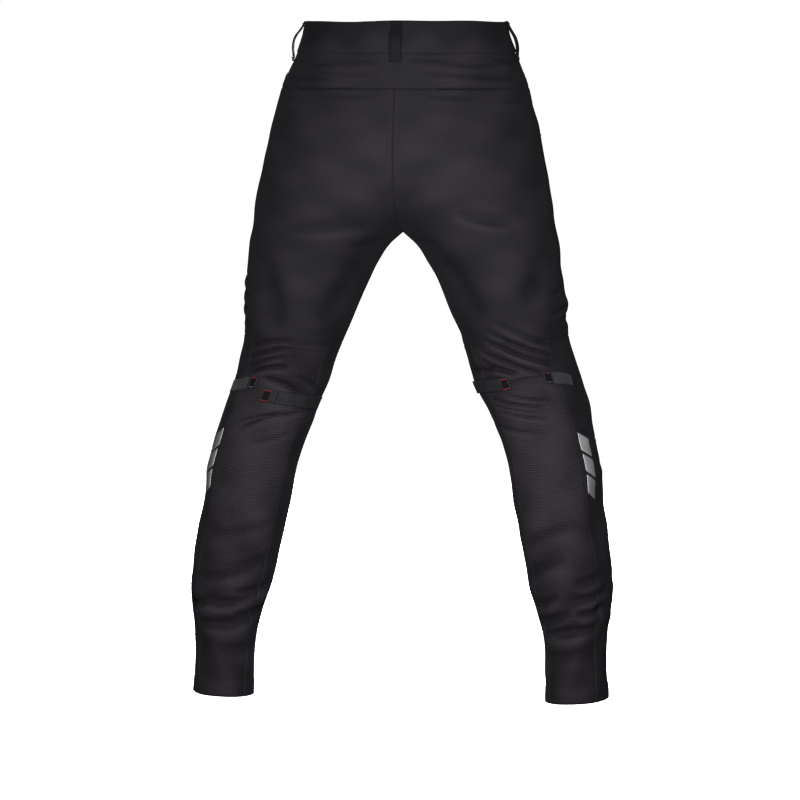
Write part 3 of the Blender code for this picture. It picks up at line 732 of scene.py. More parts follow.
def stitch_line(grid, normals, edge, distance, reach=None):
    """Starts, ends and normals of the stitches in one row at a distance from one border of a panel.

    reach limits the row to a share of the border, from its first to its last point.
    """
    away = distances(grid)[edge]
    if edge in ("top", "bottom"):
        grid, normals, away = grid.swapaxes(0, 1), normals.swapaxes(0, 1), away.T
    if edge in ("end", "bottom"):
        grid, normals, away = grid[:, ::-1], normals[:, ::-1], away[:, ::-1]
    lines = np.concatenate((grid, normals), axis=-1)
    line = np.array([[np.interp(distance, away[row], lines[row, :, part]) for part in range(6)]
                     for row in range(len(grid))])
    run = np.concatenate(([0.0], np.cumsum(np.linalg.norm(np.diff(line[:, :3], axis=0), axis=-1))))
    low, high = (0.0, 1.0) if reach is None else reach
    first = np.arange(low * run[-1] + 1.0, high * run[-1] - STITCH_LENGTH - 1.0, STITCH_PITCH)
    at = [np.stack([np.interp(first + shift, run, line[:, part]) for part in range(6)], axis=-1)
          for shift in (0.0, STITCH_LENGTH)]
    return at[0][:, :3], at[1][:, :3], unit(at[0][:, 3:])


def sew(name, grid, normals, rows, material):
    """Topstitching of one piece. Each row names a border, a distance from it and a reach or None."""
    parts = [stitch_line(grid, normals, *row) for row in rows]
    starts, ends, ups = (np.concatenate([part[k] for part in parts]) for k in range(3))
    return bars(name, starts, ends, ups, material)


def bartack(name, centre, along, out, length, width, material):
    """A dense zigzag of thread, long along one direction."""
    across = unit(np.cross(out, along))
    count = int(length / 0.5)
    place = (np.arange(count) / (count - 1) - 0.5) * length
    lean = np.where(np.arange(count) % 2 == 0, 0.5, -0.5)
    middle = centre + place[:, None] * along
    starts = middle - across * 0.5 * width - along * (lean * 0.5)[:, None]
    ends = middle + across * 0.5 * width + along * (lean * 0.5)[:, None]
    return bars(name, starts, ends, np.broadcast_to(out, starts.shape), material, 0.6, 0.7)


def place_on(side, level, turn, lift):
    """A point over the cloth with the directions along the turn, down the level and outward."""
    level, turn = np.array([float(level)]), np.array([float(turn)])
    out = outward(side, level, turn)[0]
    point = skin(side, level, turn)[0] + out * lift
    ahead = skin(side, level, turn + 0.003)[0] - skin(side, level, turn - 0.003)[0]
    along = unit(ahead - out * (ahead @ out))
    return point, along, unit(np.cross(out, along)), out


def declare_sheet(grid):
    """Works out the flat cut of a piece, from the garment's form without its small creases, and keeps nothing.
    """
    away = distances(grid)
    width = float(np.mean(away["start"][:, -1])) * MM
    length = float(np.mean(away["top"][-1])) * MM
    flat = (round(width, 4), round(length, 4))
    squares = np.cross(grid[1:, :-1] - grid[:-1, :-1], grid[:-1, 1:] - grid[:-1, :-1])
    area = float(np.linalg.norm(squares, axis=-1).sum()) * MM**2
    area = min(area, flat[0] * flat[1])


def cloth_piece(node, side, level, turn, edges, finish, lift=0.0, thick=CLOTH, extra=None,
                kept_rows=None, stitch_rows=None, painted_light=0.0, soft=()):
    """One sewn panel of one side: its shell and its topstitching; its flat cut is worked out but not kept.

    edges names how each border is made: a tuple of topstitching distances for a seam, or None for a
    free edge. extra is a rise of its own at each point, the painted light is a height added only to the
    colour, as painted highlight and painted shade, and soft names the borders whose seam lies flat.
    """
    normals = outward(side, level, turn)
    form = skin(side, level, turn) + normals * lift
    away = distances(form)
    rise = relief(side, level, turn)
    for edge, rows in edges.items():
        if rows is None:
            rise = rise + rounded_edge(away[edge], thick)
        else:
            along = away["top"] if edge in ("start", "end") else away["start"]
            flat = FLAT_SEAM if edge in soft else 1.0
            rise = rise + flat * seam_relief(away[edge], along, rows)
    ribs = 0.0 if extra is None else extra
    outer = pull_in(form + normals * (rise + ribs)[..., None])
    kept = np.arange(len(outer)) if kept_rows is None else kept_rows
    under = (form + normals * (rise - thick)[..., None])[kept]
    item = shell(f"{node}_cloth", outer, pull_in(under), finish["material"], rise + ribs + painted_light, kept,
                 mirrored=side == "left")
    cover(node)
    rows = stitch_rows
    if rows is None:
        rows = [(edge, distance, None) for edge, found in edges.items() for distance in found or ()]
    extras = [sew(f"{node}_stitches", outer, normals, rows, finish["thread"])] if rows else []
    declare_sheet(form)
    return item


def noise(nodes, links, vector, scale, detail):
    """A noise texture's factor."""
    texture = nodes.new("ShaderNodeTexNoise")
    texture.inputs["Scale"].default_value = scale
    texture.inputs["Detail"].default_value = detail
    links.new(vector, texture.inputs["Vector"])
    return texture.outputs["Fac"]


def calculate(nodes, links, operation, *values):
    """A maths node. Each value is a plain number or another node's output."""
    node = nodes.new("ShaderNodeMath")
    node.operation = operation
    for socket, value in zip(node.inputs, values):
        if isinstance(value, float):
            socket.default_value = value
        else:
            links.new(value, socket)
    return node.outputs[0]


def start_material(name):
    """A new material with its nodes, its links and its shader."""
    material = bpy.data.materials.new(name)
    material.use_nodes = True
    tree = material.node_tree
    return material, tree.nodes, tree.links, tree.nodes["Principled BSDF"]


def add_dye(nodes, links, shader, amount, colours, ends=(0.0, 1.0)):
    """The colour, from dark to light by an amount."""
    dye = nodes.new("ShaderNodeValToRGB")
    for element, place, colour in zip(dye.color_ramp.elements, ends, colours):
        element.position = place
        element.color = (*colour, 1.0)
    links.new(amount, dye.inputs["Fac"])
    links.new(dye.outputs["Color"], shader.inputs["Base Color"])


def add_gloss(nodes, links, shader, amount, roughness, spread):
    """Roughness that varies with an amount, as far above its mean as below."""
    rough = nodes.new("ShaderNodeMapRange")
    rough.inputs["To Min"].default_value = roughness - spread
    rough.inputs["To Max"].default_value = roughness + spread
    links.new(amount, rough.inputs["Value"])
    links.new(rough.outputs["Result"], shader.inputs["Roughness"])


def add_bump(nodes, links, shader, height, strength, depth):
    """Fine relief from a height. The depth is in millimetres."""
    bump = nodes.new("ShaderNodeBump")
    bump.inputs["Strength"].default_value = strength
    bump.inputs["Distance"].default_value = depth * MM
    links.new(height, bump.inputs["Height"])
    links.new(bump.outputs["Normal"], shader.inputs["Normal"])


def cloth_material(name, dark, light, roughness, weave, depth, sheen, nap, twill, heather):
    """Woven or knitted cloth: yarns both ways on the cloth map, uneven dye, rubbed paler on ridges, painted
    shade in hollows.
    """
    material, nodes, links, shader = start_material(name)
    shader.inputs["Roughness"].default_value = roughness
    shader.inputs["Specular IOR Level"].default_value = CLOTH_SPECULAR
    shader.inputs["Sheen Weight"].default_value = sheen
    shader.inputs["Sheen Roughness"].default_value = SHEEN_ROUGHNESS
    cloth = nodes.new("ShaderNodeUVMap")
    cloth.uv_map = "cloth"
    place = nodes.new("ShaderNodeTexCoord").outputs["Object"]
    yarns = []
    for turned in (twill, twill + np.pi / 2):
        spin = nodes.new("ShaderNodeMapping")
        spin.inputs["Rotation"].default_value = (0.0, 0.0, turned)
        links.new(cloth.outputs["UV"], spin.inputs["Vector"])
        wave = nodes.new("ShaderNodeTexWave")
        wave.inputs["Scale"].default_value = weave
        wave.inputs["Distortion"].default_value = 0.6
        wave.inputs["Detail Scale"].default_value = 2.0
        links.new(spin.outputs["Vector"], wave.inputs["Vector"])
        yarns.append(wave.outputs["Fac"])
    crossing = calculate(nodes, links, "MULTIPLY", *yarns)
    fuzz = noise(nodes, links, place, FUZZ_SCALE, 2.0)
    height = calculate(nodes, links, "MULTIPLY_ADD", fuzz, nap, crossing)
    add_bump(nodes, links, shader, height, 0.5, depth)
    cloudy = noise(nodes, links, place, CLOUD_SCALE, 4.0)
    speck = noise(nodes, links, place, SPECK_SCALE, 2.0)
    # Painted shade in creases and seams, and rubbed paleness on ridges, from the mesh's height
    shade_and_wear = nodes.new("ShaderNodeAttribute")
    shade_and_wear.attribute_name = "shade_and_wear"
    shade_and_wear_range = nodes.new("ShaderNodeMapRange")
    shade_and_wear_range.inputs["From Min"].default_value = SHADE_AND_WEAR_LOW
    shade_and_wear_range.inputs["From Max"].default_value = SHADE_AND_WEAR_HIGH
    links.new(shade_and_wear.outputs["Fac"], shade_and_wear_range.inputs["Value"])
    amount = DYE_START
    for source, weight in ((cloudy, CLOUD_WEIGHT), (speck, heather), (shade_and_wear_range.outputs["Result"], SHADE_AND_WEAR_WEIGHT)):
        amount = calculate(nodes, links, "MULTIPLY_ADD", source, weight, amount)
    add_dye(nodes, links, shader, amount, (dark, light))
    add_gloss(nodes, links, shader, cloudy, roughness, 0.08)
    return material


def plain_material(name, dark, light, roughness, metallic, scale, depth):
    """Film, metal or thread: fine grain in colour, gloss and height."""
    material, nodes, links, shader = start_material(name)
    shader.inputs["Metallic"].default_value = metallic
    place = nodes.new("ShaderNodeTexCoord").outputs["Object"]
    grain = noise(nodes, links, place, scale, 2.0)
    cloudy = noise(nodes, links, place, scale / 25.0, 3.0)
    half = calculate(nodes, links, "MULTIPLY", cloudy, 0.5)
    amount = calculate(nodes, links, "MULTIPLY_ADD", grain, 0.5, half)
    add_dye(nodes, links, shader, amount, (dark, light), (0.3, 0.7))
    add_gloss(nodes, links, shader, grain, roughness, 0.1)
    add_bump(nodes, links, shader, grain, 0.4, depth)
    return material


def make_finishes():
    """Every material, by the part of the garment that it covers, and the threads by their colour."""
    made = {row["name"]: plain_material(**row) for row in named(PLAIN_COLUMNS, PLAIN_MATERIALS)}
    made.update({row["name"]: cloth_material(**row) for row in named(CLOTH_COLUMNS, CLOTHS)})
    dark = made["dark_thread"]
    finish = {"red": made["red_thread"], "pale": made["pale_thread"], "dark": dark}
    for row in named(FINISH_COLUMNS, FINISHES):
        finish[row["part"]] = {"material": made[row["material"]], "slot": row["slot"], "thread": dark}
    return finish


def cover(node):
    """The piece takes the place of a solid, which is hidden."""
    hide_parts(node)


def both_sides(first, last, turns, lift, ring=False):
    """Form, normals and creases of a piece over both sides, from the left's last turn to the right's."""
    level, turn = lattice(levels_between(first, last), turns)
    parts = []
    for side in SIDES:
        out = outward(side, level, turn)
        form = skin(side, level, turn) + out * lift
        parts.append((form, out, relief(side, level, turn)))
    cut = slice(1, -1) if ring else slice(1, None)
    return [np.concatenate((left[:, ::-1], right[:, cut]), axis=1) for left, right in zip(*parts)]


def make_waistband(finish):
    """The waistband: a closed ring, a little full and buckled, whose top edge dips."""
    turns = [turns_between("left", WAIST_SPACING_LEVEL, 0.0, SIDE_SEAM),
             turns_between("left", WAIST_SPACING_LEVEL, SIDE_SEAM, 1.0)[1:]]
    form, out, rise = both_sides(0.0, WAISTBAND_SEAM, np.concatenate(turns), WAISTBAND_PROUD, ring=True)
    away = distances(form)
    edge = rounded_edge(away["top"], WAISTBAND_THICK)
    fullness = WAIST_FULLNESS * np.sin(np.pi * np.clip(away["top"] / WAISTBAND_SEAM, 0.0, 1.0))
    rise = WAIST_RELIEF * rise + fullness + edge
    rise = rise + FLAT_SEAM * seam_relief(away["bottom"], away["start"], (EDGE_STITCH,))
    round_waist = away["start"] / away["start"][:, -1:] * 2 * np.pi
    rise = rise + WAIST_BUCKLE * np.sin(11 * round_waist + 1.0) * np.sin(np.pi * away["top"] / WAISTBAND_SEAM)
    dip = WAIST_DIP * (0.5 + 0.3 * np.sin(3 * round_waist + 0.6) + 0.2 * np.sin(7 * round_waist + 2.0))
    front = np.clip(-form[..., 1] / FRONT_REACH, 0.0, 1.0)
    sag = (dip * (1.0 - front) + WAIST_DIP * front) * np.exp(-away["top"] / WAIST_DIP_REACH)
    down = np.array((0.0, 0.0, -1.0)) * sag[..., None]
    outer = form + out * rise[..., None] + down
    inner = form - out * (WAISTBAND_THICK + edge)[..., None] + down
    # Painted shade: the colour darkens towards the waistband's top edge
    shaded = rise - WAIST_PAINTED_SHADE * (1.0 - away["top"] / WAISTBAND_SEAM)
    band = shell("waistband_cloth", outer, inner, finish["material"], shaded, ring=True, mirrored=True)
    cover("waistband")
    rows = [("bottom", EDGE_STITCH, None), ("top", BAND_STITCH, None)]
    thread = sew("waistband_stitches", outer, out, rows, finish["thread"])
    declare_sheet(form)


def pocket_slit(turn, away):
    """The mouth of a back pocket: a slit along the yoke's seam, between two turns."""
    first, last = BACK_POCKET_TURNS
    return np.where((turn > first) & (turn < last), -SLIT_DEPTH * hump(away, SLIT_HALF), 0.0)


def make_yoke(finish):
    """The back yoke over both sides, with the back pockets' mouths and their bar tacks."""
    turns = turns_between("left", YOKE_SPACING_LEVEL, 0.0, SIDE_SEAM)
    form, out, rise = both_sides(WAISTBAND_SEAM, YOKE_SEAM, turns, 0.0)
    away = distances(form)
    rise = rise + FLAT_SEAM * seam_relief(away["top"], away["start"], ())
    rise = rise + YOKE_FLAT * seam_relief(away["bottom"], away["start"], (EDGE_STITCH,))
    rise = rise + seam_relief(away["start"], away["top"], ()) + seam_relief(away["end"], away["top"], ())
    rise = rise + pocket_slit(np.concatenate((turns[::-1], turns[1:]))[None], away["bottom"])
    outer = pull_in(form + out * rise[..., None])
    inner = pull_in(form + out * (rise - CLOTH)[..., None])
    yoke = shell("back_yoke_cloth", outer, inner, finish["material"], rise, mirrored=True)
    cover("back_yoke")
    thread = sew("back_yoke_stitches", outer, out, [("bottom", EDGE_STITCH, None)], finish["thread"])
    declare_sheet(form)
    for side in SIDES:
        for end, at in enumerate(BACK_POCKET_TURNS):
            point, along, down, up = place_on(side, YOKE_SEAM - 1.0, at, 0.5)
            for label, step in (("in", -1.6), ("out", 1.6)):
                bartack(f"pocket_bartack_{side}_{end}_{label}", point + along * step, down, up, 8.0, 1.0,
                        finish["thread"])


def make_fly_flap(finish):
    """The flap over the fly, on the left front panel."""
    level, turn = lattice(levels_between(WAISTBAND_SEAM, FLY_END),
                          turns_between("left", FLY_SPACING_LEVEL, FLY_TURN, 1.0))
    edges = {"top": (), "start": (EDGE_STITCH, SECOND_STITCH), "bottom": (EDGE_STITCH,), "end": None}
    cloth_piece("fly_flap", "left", level, turn, edges, finish, lift=ON_TOP + CLOTH)


def make_waistband_tab(finish):
    """The waistband's end, which laps over at the front."""
    level, turn = lattice(levels_between(0.0, WAISTBAND_SEAM),
                          turns_between("left", WAIST_SPACING_LEVEL, FLY_TURN, 1.0))
    parts = []
    for side in SIDES:
        out = outward(side, level, turn)
        parts.append((skin(side, level, turn) + out * (WAISTBAND_PROUD + ON_TOP + CLOTH), out))
    form, out = (np.concatenate((left, right[:, -2::-1]), axis=1) for left, right in zip(*parts))
    away = distances(form)
    nearest = np.minimum.reduce(list(away.values()))
    rise = rounded_edge(nearest, CLOTH) - STITCH_GROOVE * hump(nearest - TAB_STITCH, GROOVE_HALF)
    down = np.array((0.0, 0.0, -WAIST_DIP)) * np.exp(-away["top"] / WAIST_DIP_REACH)[..., None]
    outer = pull_in(form + out * rise[..., None] + down)
    inner = pull_in(form - out * CLOTH + down)
    # The tab takes the darkened shell cloth, as painted shade
    tab = shell("waistband_tab_cloth", outer, inner, finish["material"], rise, mirrored=True)
    cover("waistband_tab")
    rows = [(edge, TAB_STITCH, (0.05, 0.95)) for edge in away]
    thread = sew("waistband_tab_stitches", outer, out, rows, finish["thread"])
    declare_sheet(form)


def make_snap(finish):
    """The snap on the waistband's end, turned from a profile of radius and height."""
    lift = WAISTBAND_PROUD + ON_TOP + CLOTH + ON_TOP
    centre, along, down, up = place_on("left", 0.5 * WAISTBAND_SEAM, 1.0, lift)
    angles = np.linspace(0.0, 2 * np.pi, 48, endpoint=False)
    circle = np.cos(angles)[:, None] * along + np.sin(angles)[:, None] * down
    points = [centre + circle * max(radius, 0.004) * SNAP_RADIUS + up * height * SNAP_HEIGHT
              for radius, height in SNAP_PROFILE]
    count = len(angles)
    last = (len(SNAP_PROFILE) - 1) * count
    faces = [tuple(range(count))[::-1], tuple(last + step for step in range(count))]
    for here in range(0, last, count):
        for step in range(count):
            beside = (step + 1) % count
            faces.append((here + step, here + beside, here + count + beside, here + count + step))
    snap = mesh_object("waist_snap_metal", np.concatenate(points), faces, finish["material"])
    cover("waist_snap")


def make_upper(finish):
    """Seat, fronts and pocket facings."""
    for side in SIDES:
        level, turn = lattice(levels_between(YOKE_SEAM, KNEE_TOP),
                              turns_between(side, THIGH_SPACING_LEVEL, 0.0, SIDE_SEAM))
        edges = {"top": (), "start": (SEAT_STITCH,), "bottom": (), "end": (EDGE_STITCH,)}
        rows = [("start", SEAT_STITCH, (0.0, 1.0)), ("start", SEAT_SECOND_STITCH, (0.0, 0.24)),
                ("end", EDGE_STITCH, None), ("top", SECOND_STITCH, None)]
        cloth_piece(f"back_panel_{side}", side, level, turn, edges, finish["shell"],
                    extra=pocket_slit(turn, level - YOKE_SEAM),
                    stitch_rows=rows, soft=("bottom",))

        level, turn = lattice(levels_between(WAISTBAND_SEAM, KNEE_TOP),
                              turns_between(side, THIGH_SPACING_LEVEL, SIDE_SEAM, 1.0))
        mouth = pocket_line(level)
        moved = mouth + (FRONT_FIXED_TURN - mouth) * (turn - SIDE_SEAM) / (FRONT_FIXED_TURN - SIDE_SEAM)
        turn = np.where(turn < FRONT_FIXED_TURN, moved, turn)
        edges = {"top": (), "start": (EDGE_STITCH,), "bottom": (EDGE_STITCH,), "end": ()}
        rows = [("start", EDGE_STITCH, (0.0, POCKET_SHARE)), ("start", SECOND_STITCH, (0.0, POCKET_SHARE)),
                ("bottom", EDGE_STITCH, None)]
        cloth_piece(f"front_panel_{side}", side, level, turn, edges, finish["shell"], stitch_rows=rows)

        level, share = lattice(levels_between(WAISTBAND_SEAM, POCKET_END - 4.0), np.linspace(0, 1, 24))
        turn = SIDE_SEAM + (pocket_line(level) - SIDE_SEAM) * share
        edges = {"top": (), "start": (), "bottom": None, "end": None}
        cloth_piece(f"pocket_facing_{side}", side, level, turn, edges, finish["pocket"],
                    lift=-POCKET_DEEP)
        for at, label in ((WAISTBAND_SEAM + 5.0, "top"), (POCKET_END - 6.0, "low")):
            point, along, _, up = place_on(side, at, float(pocket_line(at)) + 0.012, 0.7)
            bartack(f"hand_pocket_bartack_{side}_{label}", point, along, up, 9.0, 2.0, finish["dark"])


def hem_rise(level):
    """The turned hem is a little thicker than the leg above it."""
    return HEM_RISE * (1.0 - fading(level, HEM - HEM_FOLD, HEM_SOFTNESS))


def make_lower(finish):
    """Knee, shin and calf pieces."""
    for side in SIDES:
        for piece in named(LEG_COLUMNS, LEG_PIECES):
            turns = turns_between(side, KNEE_SPACING_LEVEL, piece["first_turn"], piece["last_turn"])
            level, turn = lattice(levels_between(piece["first_level"], piece["last_level"]), turns)
            edges = {edge: (EDGE_STITCH,) if edge in piece["sewn"] else () for edge in BORDERS}
            rows = [(edge, EDGE_STITCH, None) for edge in BORDERS if edge in piece["sewn"]]
            hem = None
            if piece["last_level"] == HEM:
                edges["bottom"] = None
                rows.append(("bottom", HEM_STITCH, None))
                hem = hem_rise(level)
            cloth_piece(f"{piece['name']}_{side}", side, level, turn, edges, finish["shell"], extra=hem,
                        stitch_rows=rows)
        make_ribs(side, finish["stretch"])


def make_ribs(side, finish):
    """The ribbed stretch panel behind the knee and calf, each rib a real ridge."""
    rib_end = RIB_TOP + RIB_PITCH * RIB_COUNT
    above = KNEE_TOP + np.array(STEPS_ABOVE_RIBS)
    ribbed = RIB_TOP + RIB_PITCH / ROWS_IN_RIB * np.arange(ROWS_IN_RIB * RIB_COUNT + 1)
    below = np.linspace(rib_end, HEM, ROWS_BELOW_RIBS)[1:]
    levels = np.concatenate((above, ribbed, below))
    rows_kept = [0, 2] + [len(above) + ROWS_IN_RIB * step for step in range(RIB_COUNT + 1)]
    rows_kept += list(range(len(above) + len(ribbed), len(levels)))
    level, turn = lattice(levels, turns_between(side, KNEE_SPACING_LEVEL, RIB_INNER_TURN, RIB_OUTER_TURN))
    shape = np.abs(np.sin(np.pi * (level - RIB_TOP) / RIB_PITCH)) ** 0.7
    full = RIB_LEAST + (1.0 - RIB_LEAST) * hump(level - RIB_FULL_LEVEL, RIB_FULL_REACH)
    inside = (level > RIB_TOP) & (level < rib_end)
    away = distances(skin(side, level, turn))
    border = np.clip(np.minimum(away["start"], away["end"]) / RIB_BORDER, 0.0, 1.0)
    ribs = np.where(inside, shape * full, 0.0) * border
    # Painted shade towards the hem and above the straps
    lower_painted_shade = LOWER_PAINTED_SHADE * (1.0 - fading(level, LOWER_LEVEL, LOWER_SOFTNESS))
    upper_painted_shade = UPPER_PAINTED_SHADE * fading(level, UPPER_LEVEL, UPPER_SOFTNESS)
    edges = {"top": (), "start": (), "bottom": None, "end": ()}
    # The rib crests get painted highlight and their grooves painted shade, added to the colour only
    cloth_piece(f"rib_panel_{side}", side, level, turn, edges, finish, extra=ribs + hem_rise(level),
                kept_rows=rows_kept,
                stitch_rows=[("bottom", HEM_STITCH, None)],
                painted_light=RIB_PAINTED_LIGHT * (ribs - 0.5 * full * inside) - (lower_painted_shade + upper_painted_shade), soft=("top",))


def strap_grid(strap, first, second, lift, step=1.0):
    """Points and normals of a stretch of strap, across its width and along its line."""
    low, high = sorted((first, second))
    count = max(10, int((high - low) * GIRTH / step))
    turn, share = np.meshgrid(np.linspace(low, high, count), np.linspace(-0.5, 0.5, 19))
    lean = (strap["tip_level"] - strap["seam_level"]) / (strap["tip_turn"] - strap["seam_turn"])
    level = strap["seam_level"] + lean * (turn - strap["seam_turn"]) + share * strap["width"]
    out = outward(strap["side"], level, turn)
    from_seam = np.abs(turn - strap["seam_turn"]) * GIRTH
    sunk = lift - STRAP_SINK * hump(from_seam, STRAP_SINK_REACH)
    return skin(strap["side"], level, turn) + out * sunk[..., None], out, turn, share


def make_straps(finish):
    """Knee straps with their bound edges, and the framed end tabs with bar tacks."""
    for strap in named(STRAP_COLUMNS, STRAPS):
        side, name = strap["side"], strap["name"]
        mirrored = side == "left"
        kind = finish["webbing"] if name == "outer" else finish["smooth_strap"]
        form, out, turn, share = strap_grid(strap, strap["seam_turn"], strap["tab_turn"],
                                            STRAP_LIFT + STRAP_THICK)
        away = distances(form)
        edge = np.minimum(away["top"], away["bottom"])
        rise = rounded_edge(edge, STRAP_THICK) + 0.25 * hump(edge - 1.6, 0.9)
        rise = rise + STRAP_WAVE * np.sin(turn * STRAP_WAVES + share * 2.0) * (edge > 0.5)
        outer = pull_in(form + out * rise[..., None])
        inner = pull_in(form - out * STRAP_THICK)
        band = shell(f"strap_{name}_{side}_band", outer, inner, kind["material"], rise, mirrored=mirrored)
        cover(f"strap_{name}_{side}")
        rows = [("top", STRAP_STITCH, None), ("bottom", STRAP_STITCH, None)]
        thread = sew(f"strap_{name}_{side}_stitches", outer, out, rows, finish["dark"])
        declare_sheet(form)
        make_strap_tab(strap, finish, mirrored)


def make_strap_tab(strap, finish, mirrored):
    """The end tab: a narrow frame round a dark slot, tacked along both of its long edges."""
    side, name = strap["side"], strap["name"]
    form, out, _, _ = strap_grid(strap, strap["tab_turn"], strap["tip_turn"],
                                 STRAP_LIFT + STRAP_TAB_THICK, 0.6)
    away = distances(form)
    nearest = np.minimum.reduce(list(away.values()))
    tip_first = strap["tip_turn"] < strap["tab_turn"]
    from_tip = away["start" if tip_first else "end"]
    frame_long = min(TAB_FRAME, float(from_tip.max()) - 1.0)
    in_slot = (1.0 - fading(nearest, TAB_RIM, 0.25)) * fading(from_tip, frame_long - TAB_RIM, 0.25)
    behind = 1.0 - fading(from_tip, frame_long, 0.4)
    rise = rounded_edge(nearest, STRAP_TAB_THICK) - SLOT_DEPTH * in_slot
    rise = rise - (STRAP_TAB_THICK - STRAP_THICK) * behind
    outer = pull_in(form + out * rise[..., None])
    inner = pull_in(form - out * STRAP_TAB_THICK)
    tab = shell(f"strap_{name}_tab_{side}_frame", outer, inner, finish["smooth_strap"]["material"],
                rise + TAB_SHADE, mirrored=mirrored)
    cover(f"strap_{name}_tab_{side}")
    declare_sheet(form)
    slot_cloth = (nearest > TAB_RIM - 0.2) & (from_tip < frame_long - TAB_RIM + 0.2)
    rows_in = np.where(slot_cloth.any(axis=1))[0]
    columns_in = np.where(slot_cloth.any(axis=0))[0]
    patch = (slice(rows_in[0], rows_in[-1] + 1), slice(columns_in[0], columns_in[-1] + 1))
    over = form[patch] + out[patch] * (rise[patch] + 0.12)[..., None]
    slot = shell(f"strap_{name}_tab_{side}_slot", over, over - out[patch] * 0.3, finish["pocket"]["material"],
                 rise[patch], mirrored=mirrored)
    tip_column = 2 if tip_first else -3
    middle = int(np.argmin(np.abs(from_tip[9] - 0.5 * frame_long)))
    for row, label in ((2, "top"), (-3, "low")):
        centre = form[row, middle]
        along = unit(form[row, middle + 1] - form[row, middle - 1])
        length = min(TAB_TACK, frame_long - 2.0) if name == "inner" else 4.0
        colour = finish["red"] if name == "inner" or label == "top" else finish["pale"]
        bartack(f"strap_{name}_bartack_{side}_{label}", centre + out[row, middle] * 0.1, along,
                out[row, middle], length, 1.9, colour)
    ends = form[3:-3, tip_column]
    ups = out[3:-3, tip_column]
    bars(f"strap_{name}_tip_stitches_{side}", ends[:-1:2], ends[1::2][:len(ends[:-1:2])],
         ups[:-1:2], finish["pale"], 0.6, 0.5)


def make_reflectors(finish):
    """Three slanted patches of film on each outer calf, with softly rounded corners."""
    for side in SIDES:
        for patch in named(REFLECTOR_COLUMNS, REFLECTORS):
            across, down = np.meshgrid(np.linspace(-1, 1, 25), np.linspace(-1, 1, 29))
            low, high = REFLECTOR_TURNS
            turn = 0.5 * (low + high) + 0.5 * (high - low) * across * (1.0 - 0.05 * down**14)
            slant = (turn - low) / (high - low)
            level = patch["level"] + REFLECTOR_SLANT * slant
            level = level + patch["length"] * (0.5 + 0.5 * down * (1.0 - 0.05 * across**14))
            out = outward(side, level, turn)
            lift = ON_TOP + REFLECTOR_THICK + relief(side, level, turn)
            form = skin(side, level, turn) + out * lift[..., None]
            nearest = np.minimum.reduce(list(distances(form).values()))
            rise = rounded_edge(nearest, REFLECTOR_THICK) - 0.2 * hump(nearest - 1.4, 0.5)
            item = shell(f"reflector_{patch['name']}_{side}_film", form + out * rise[..., None],
                         form - out * (REFLECTOR_THICK + 0.3), finish["film"]["material"], rise,
                         mirrored=side == "left")
            cover(f"reflector_{patch['name']}_{side}")


def make_loops(finish):
    """Belt loops, folded from a strip, with two rows of stitches and a bar tack at each end."""
    level, offset = lattice(np.linspace(LOOP_TOP, LOOP_END, 50),
                            np.linspace(-LOOP_HALF_TURN, LOOP_HALF_TURN, 15))
    part = (level - LOOP_TOP) / (LOOP_END - LOOP_TOP)
    step = WAISTBAND_PROUD * fading(level, WAISTBAND_SEAM + 2.0, 1.5)
    for loop in named(LOOP_COLUMNS, LOOPS):
        side, name = loop["side"], loop["name"]
        turn = loop["turn"] + offset
        past_middle = np.where(turn < 0.0, -1.0, 1.0)[..., None]
        mirror = past_middle * np.array((1.0, 0.0, 0.0)) + np.array((0.0, 1.0, 1.0))
        out = outward(side, level, np.abs(turn)) * mirror
        lift = ON_TOP + step + loop["bow"] * np.sin(np.pi * part) ** 1.5 + LOOP_THICK
        form = skin(side, level, np.abs(turn)) * mirror + out * lift[..., None]
        away = distances(form)
        nearest = np.minimum(away["start"], away["end"])
        rise = rounded_edge(nearest, LOOP_THICK) - STITCH_GROOVE * hump(nearest - LOOP_STITCH, 0.8)
        rise = rise + 0.3 * hump(nearest - 5.5, 1.5)
        outer = form + out * rise[..., None]
        # The strips take the darkened shell cloth, as painted shade
        strip = shell(f"loop_{name}_strip", outer, form - out * LOOP_THICK, finish["waist"]["material"], rise,
                      mirrored=side == "left")
        cover(f"loop_{name}")
        rows = [("start", LOOP_STITCH, None), ("end", LOOP_STITCH, None)]
        thread = sew(f"loop_{name}_stitches", outer, out, rows, finish["dark"])
        declare_sheet(form)
        for end, line in (("top", 3), ("low", -4)):
            along = unit(form[line, -1] - form[line, 0])
            bartack(f"loop_{name}_bartack_{end}", form[line, 7] + out[line, 7] * 0.35, along, out[line, 7],
                    12.0, 2.2, finish["dark"])


# The camera and the studio
CAMERA_AZIMUTH = 188.0
CAMERA_DISTANCE = 6.0
CAMERA_HEIGHT = 0.020
CAMERA_LENS = 187.1
AIM_HEIGHT = -0.5283
AIM_SIDE = 0.0081
FLOOR_HEIGHT = -1.06
FLOOR_RADIUS = 16.0
WORLD_LIGHT = 0.05
WORLD_WHITE = 1.0
FLOOR_GLOW = 1.0
FLOOR_SHADE = 0.86
PICTURE_GAMMA = 0.7
SENSOR_WIDTH = 36.0
LIGHT_AIM_HEIGHT = -0.45
# Each light's azimuth, distance and height, its width, all in metres and degrees, and its power
LIGHTS = (
    ("key", 187.0, 2.0, -0.15, 0.7, 69.0),
    ("side_left", 275.0, 3.6, 0.3, 1.6, 8.0),
    ("side_right", 100.0, 3.6, 0.3, 1.6, 8.0),
    ("front", 8.0, 3.6, 0.35, 1.3, 190.0),
    ("above", 188.0, 1.2, 3.0, 1.8, 14.0),
)


def towards(azimuth):
    """The level direction from the object to where a camera at an azimuth stands."""
    angle = np.radians(azimuth)
    return Vector((np.sin(angle), -np.cos(angle), 0.0))


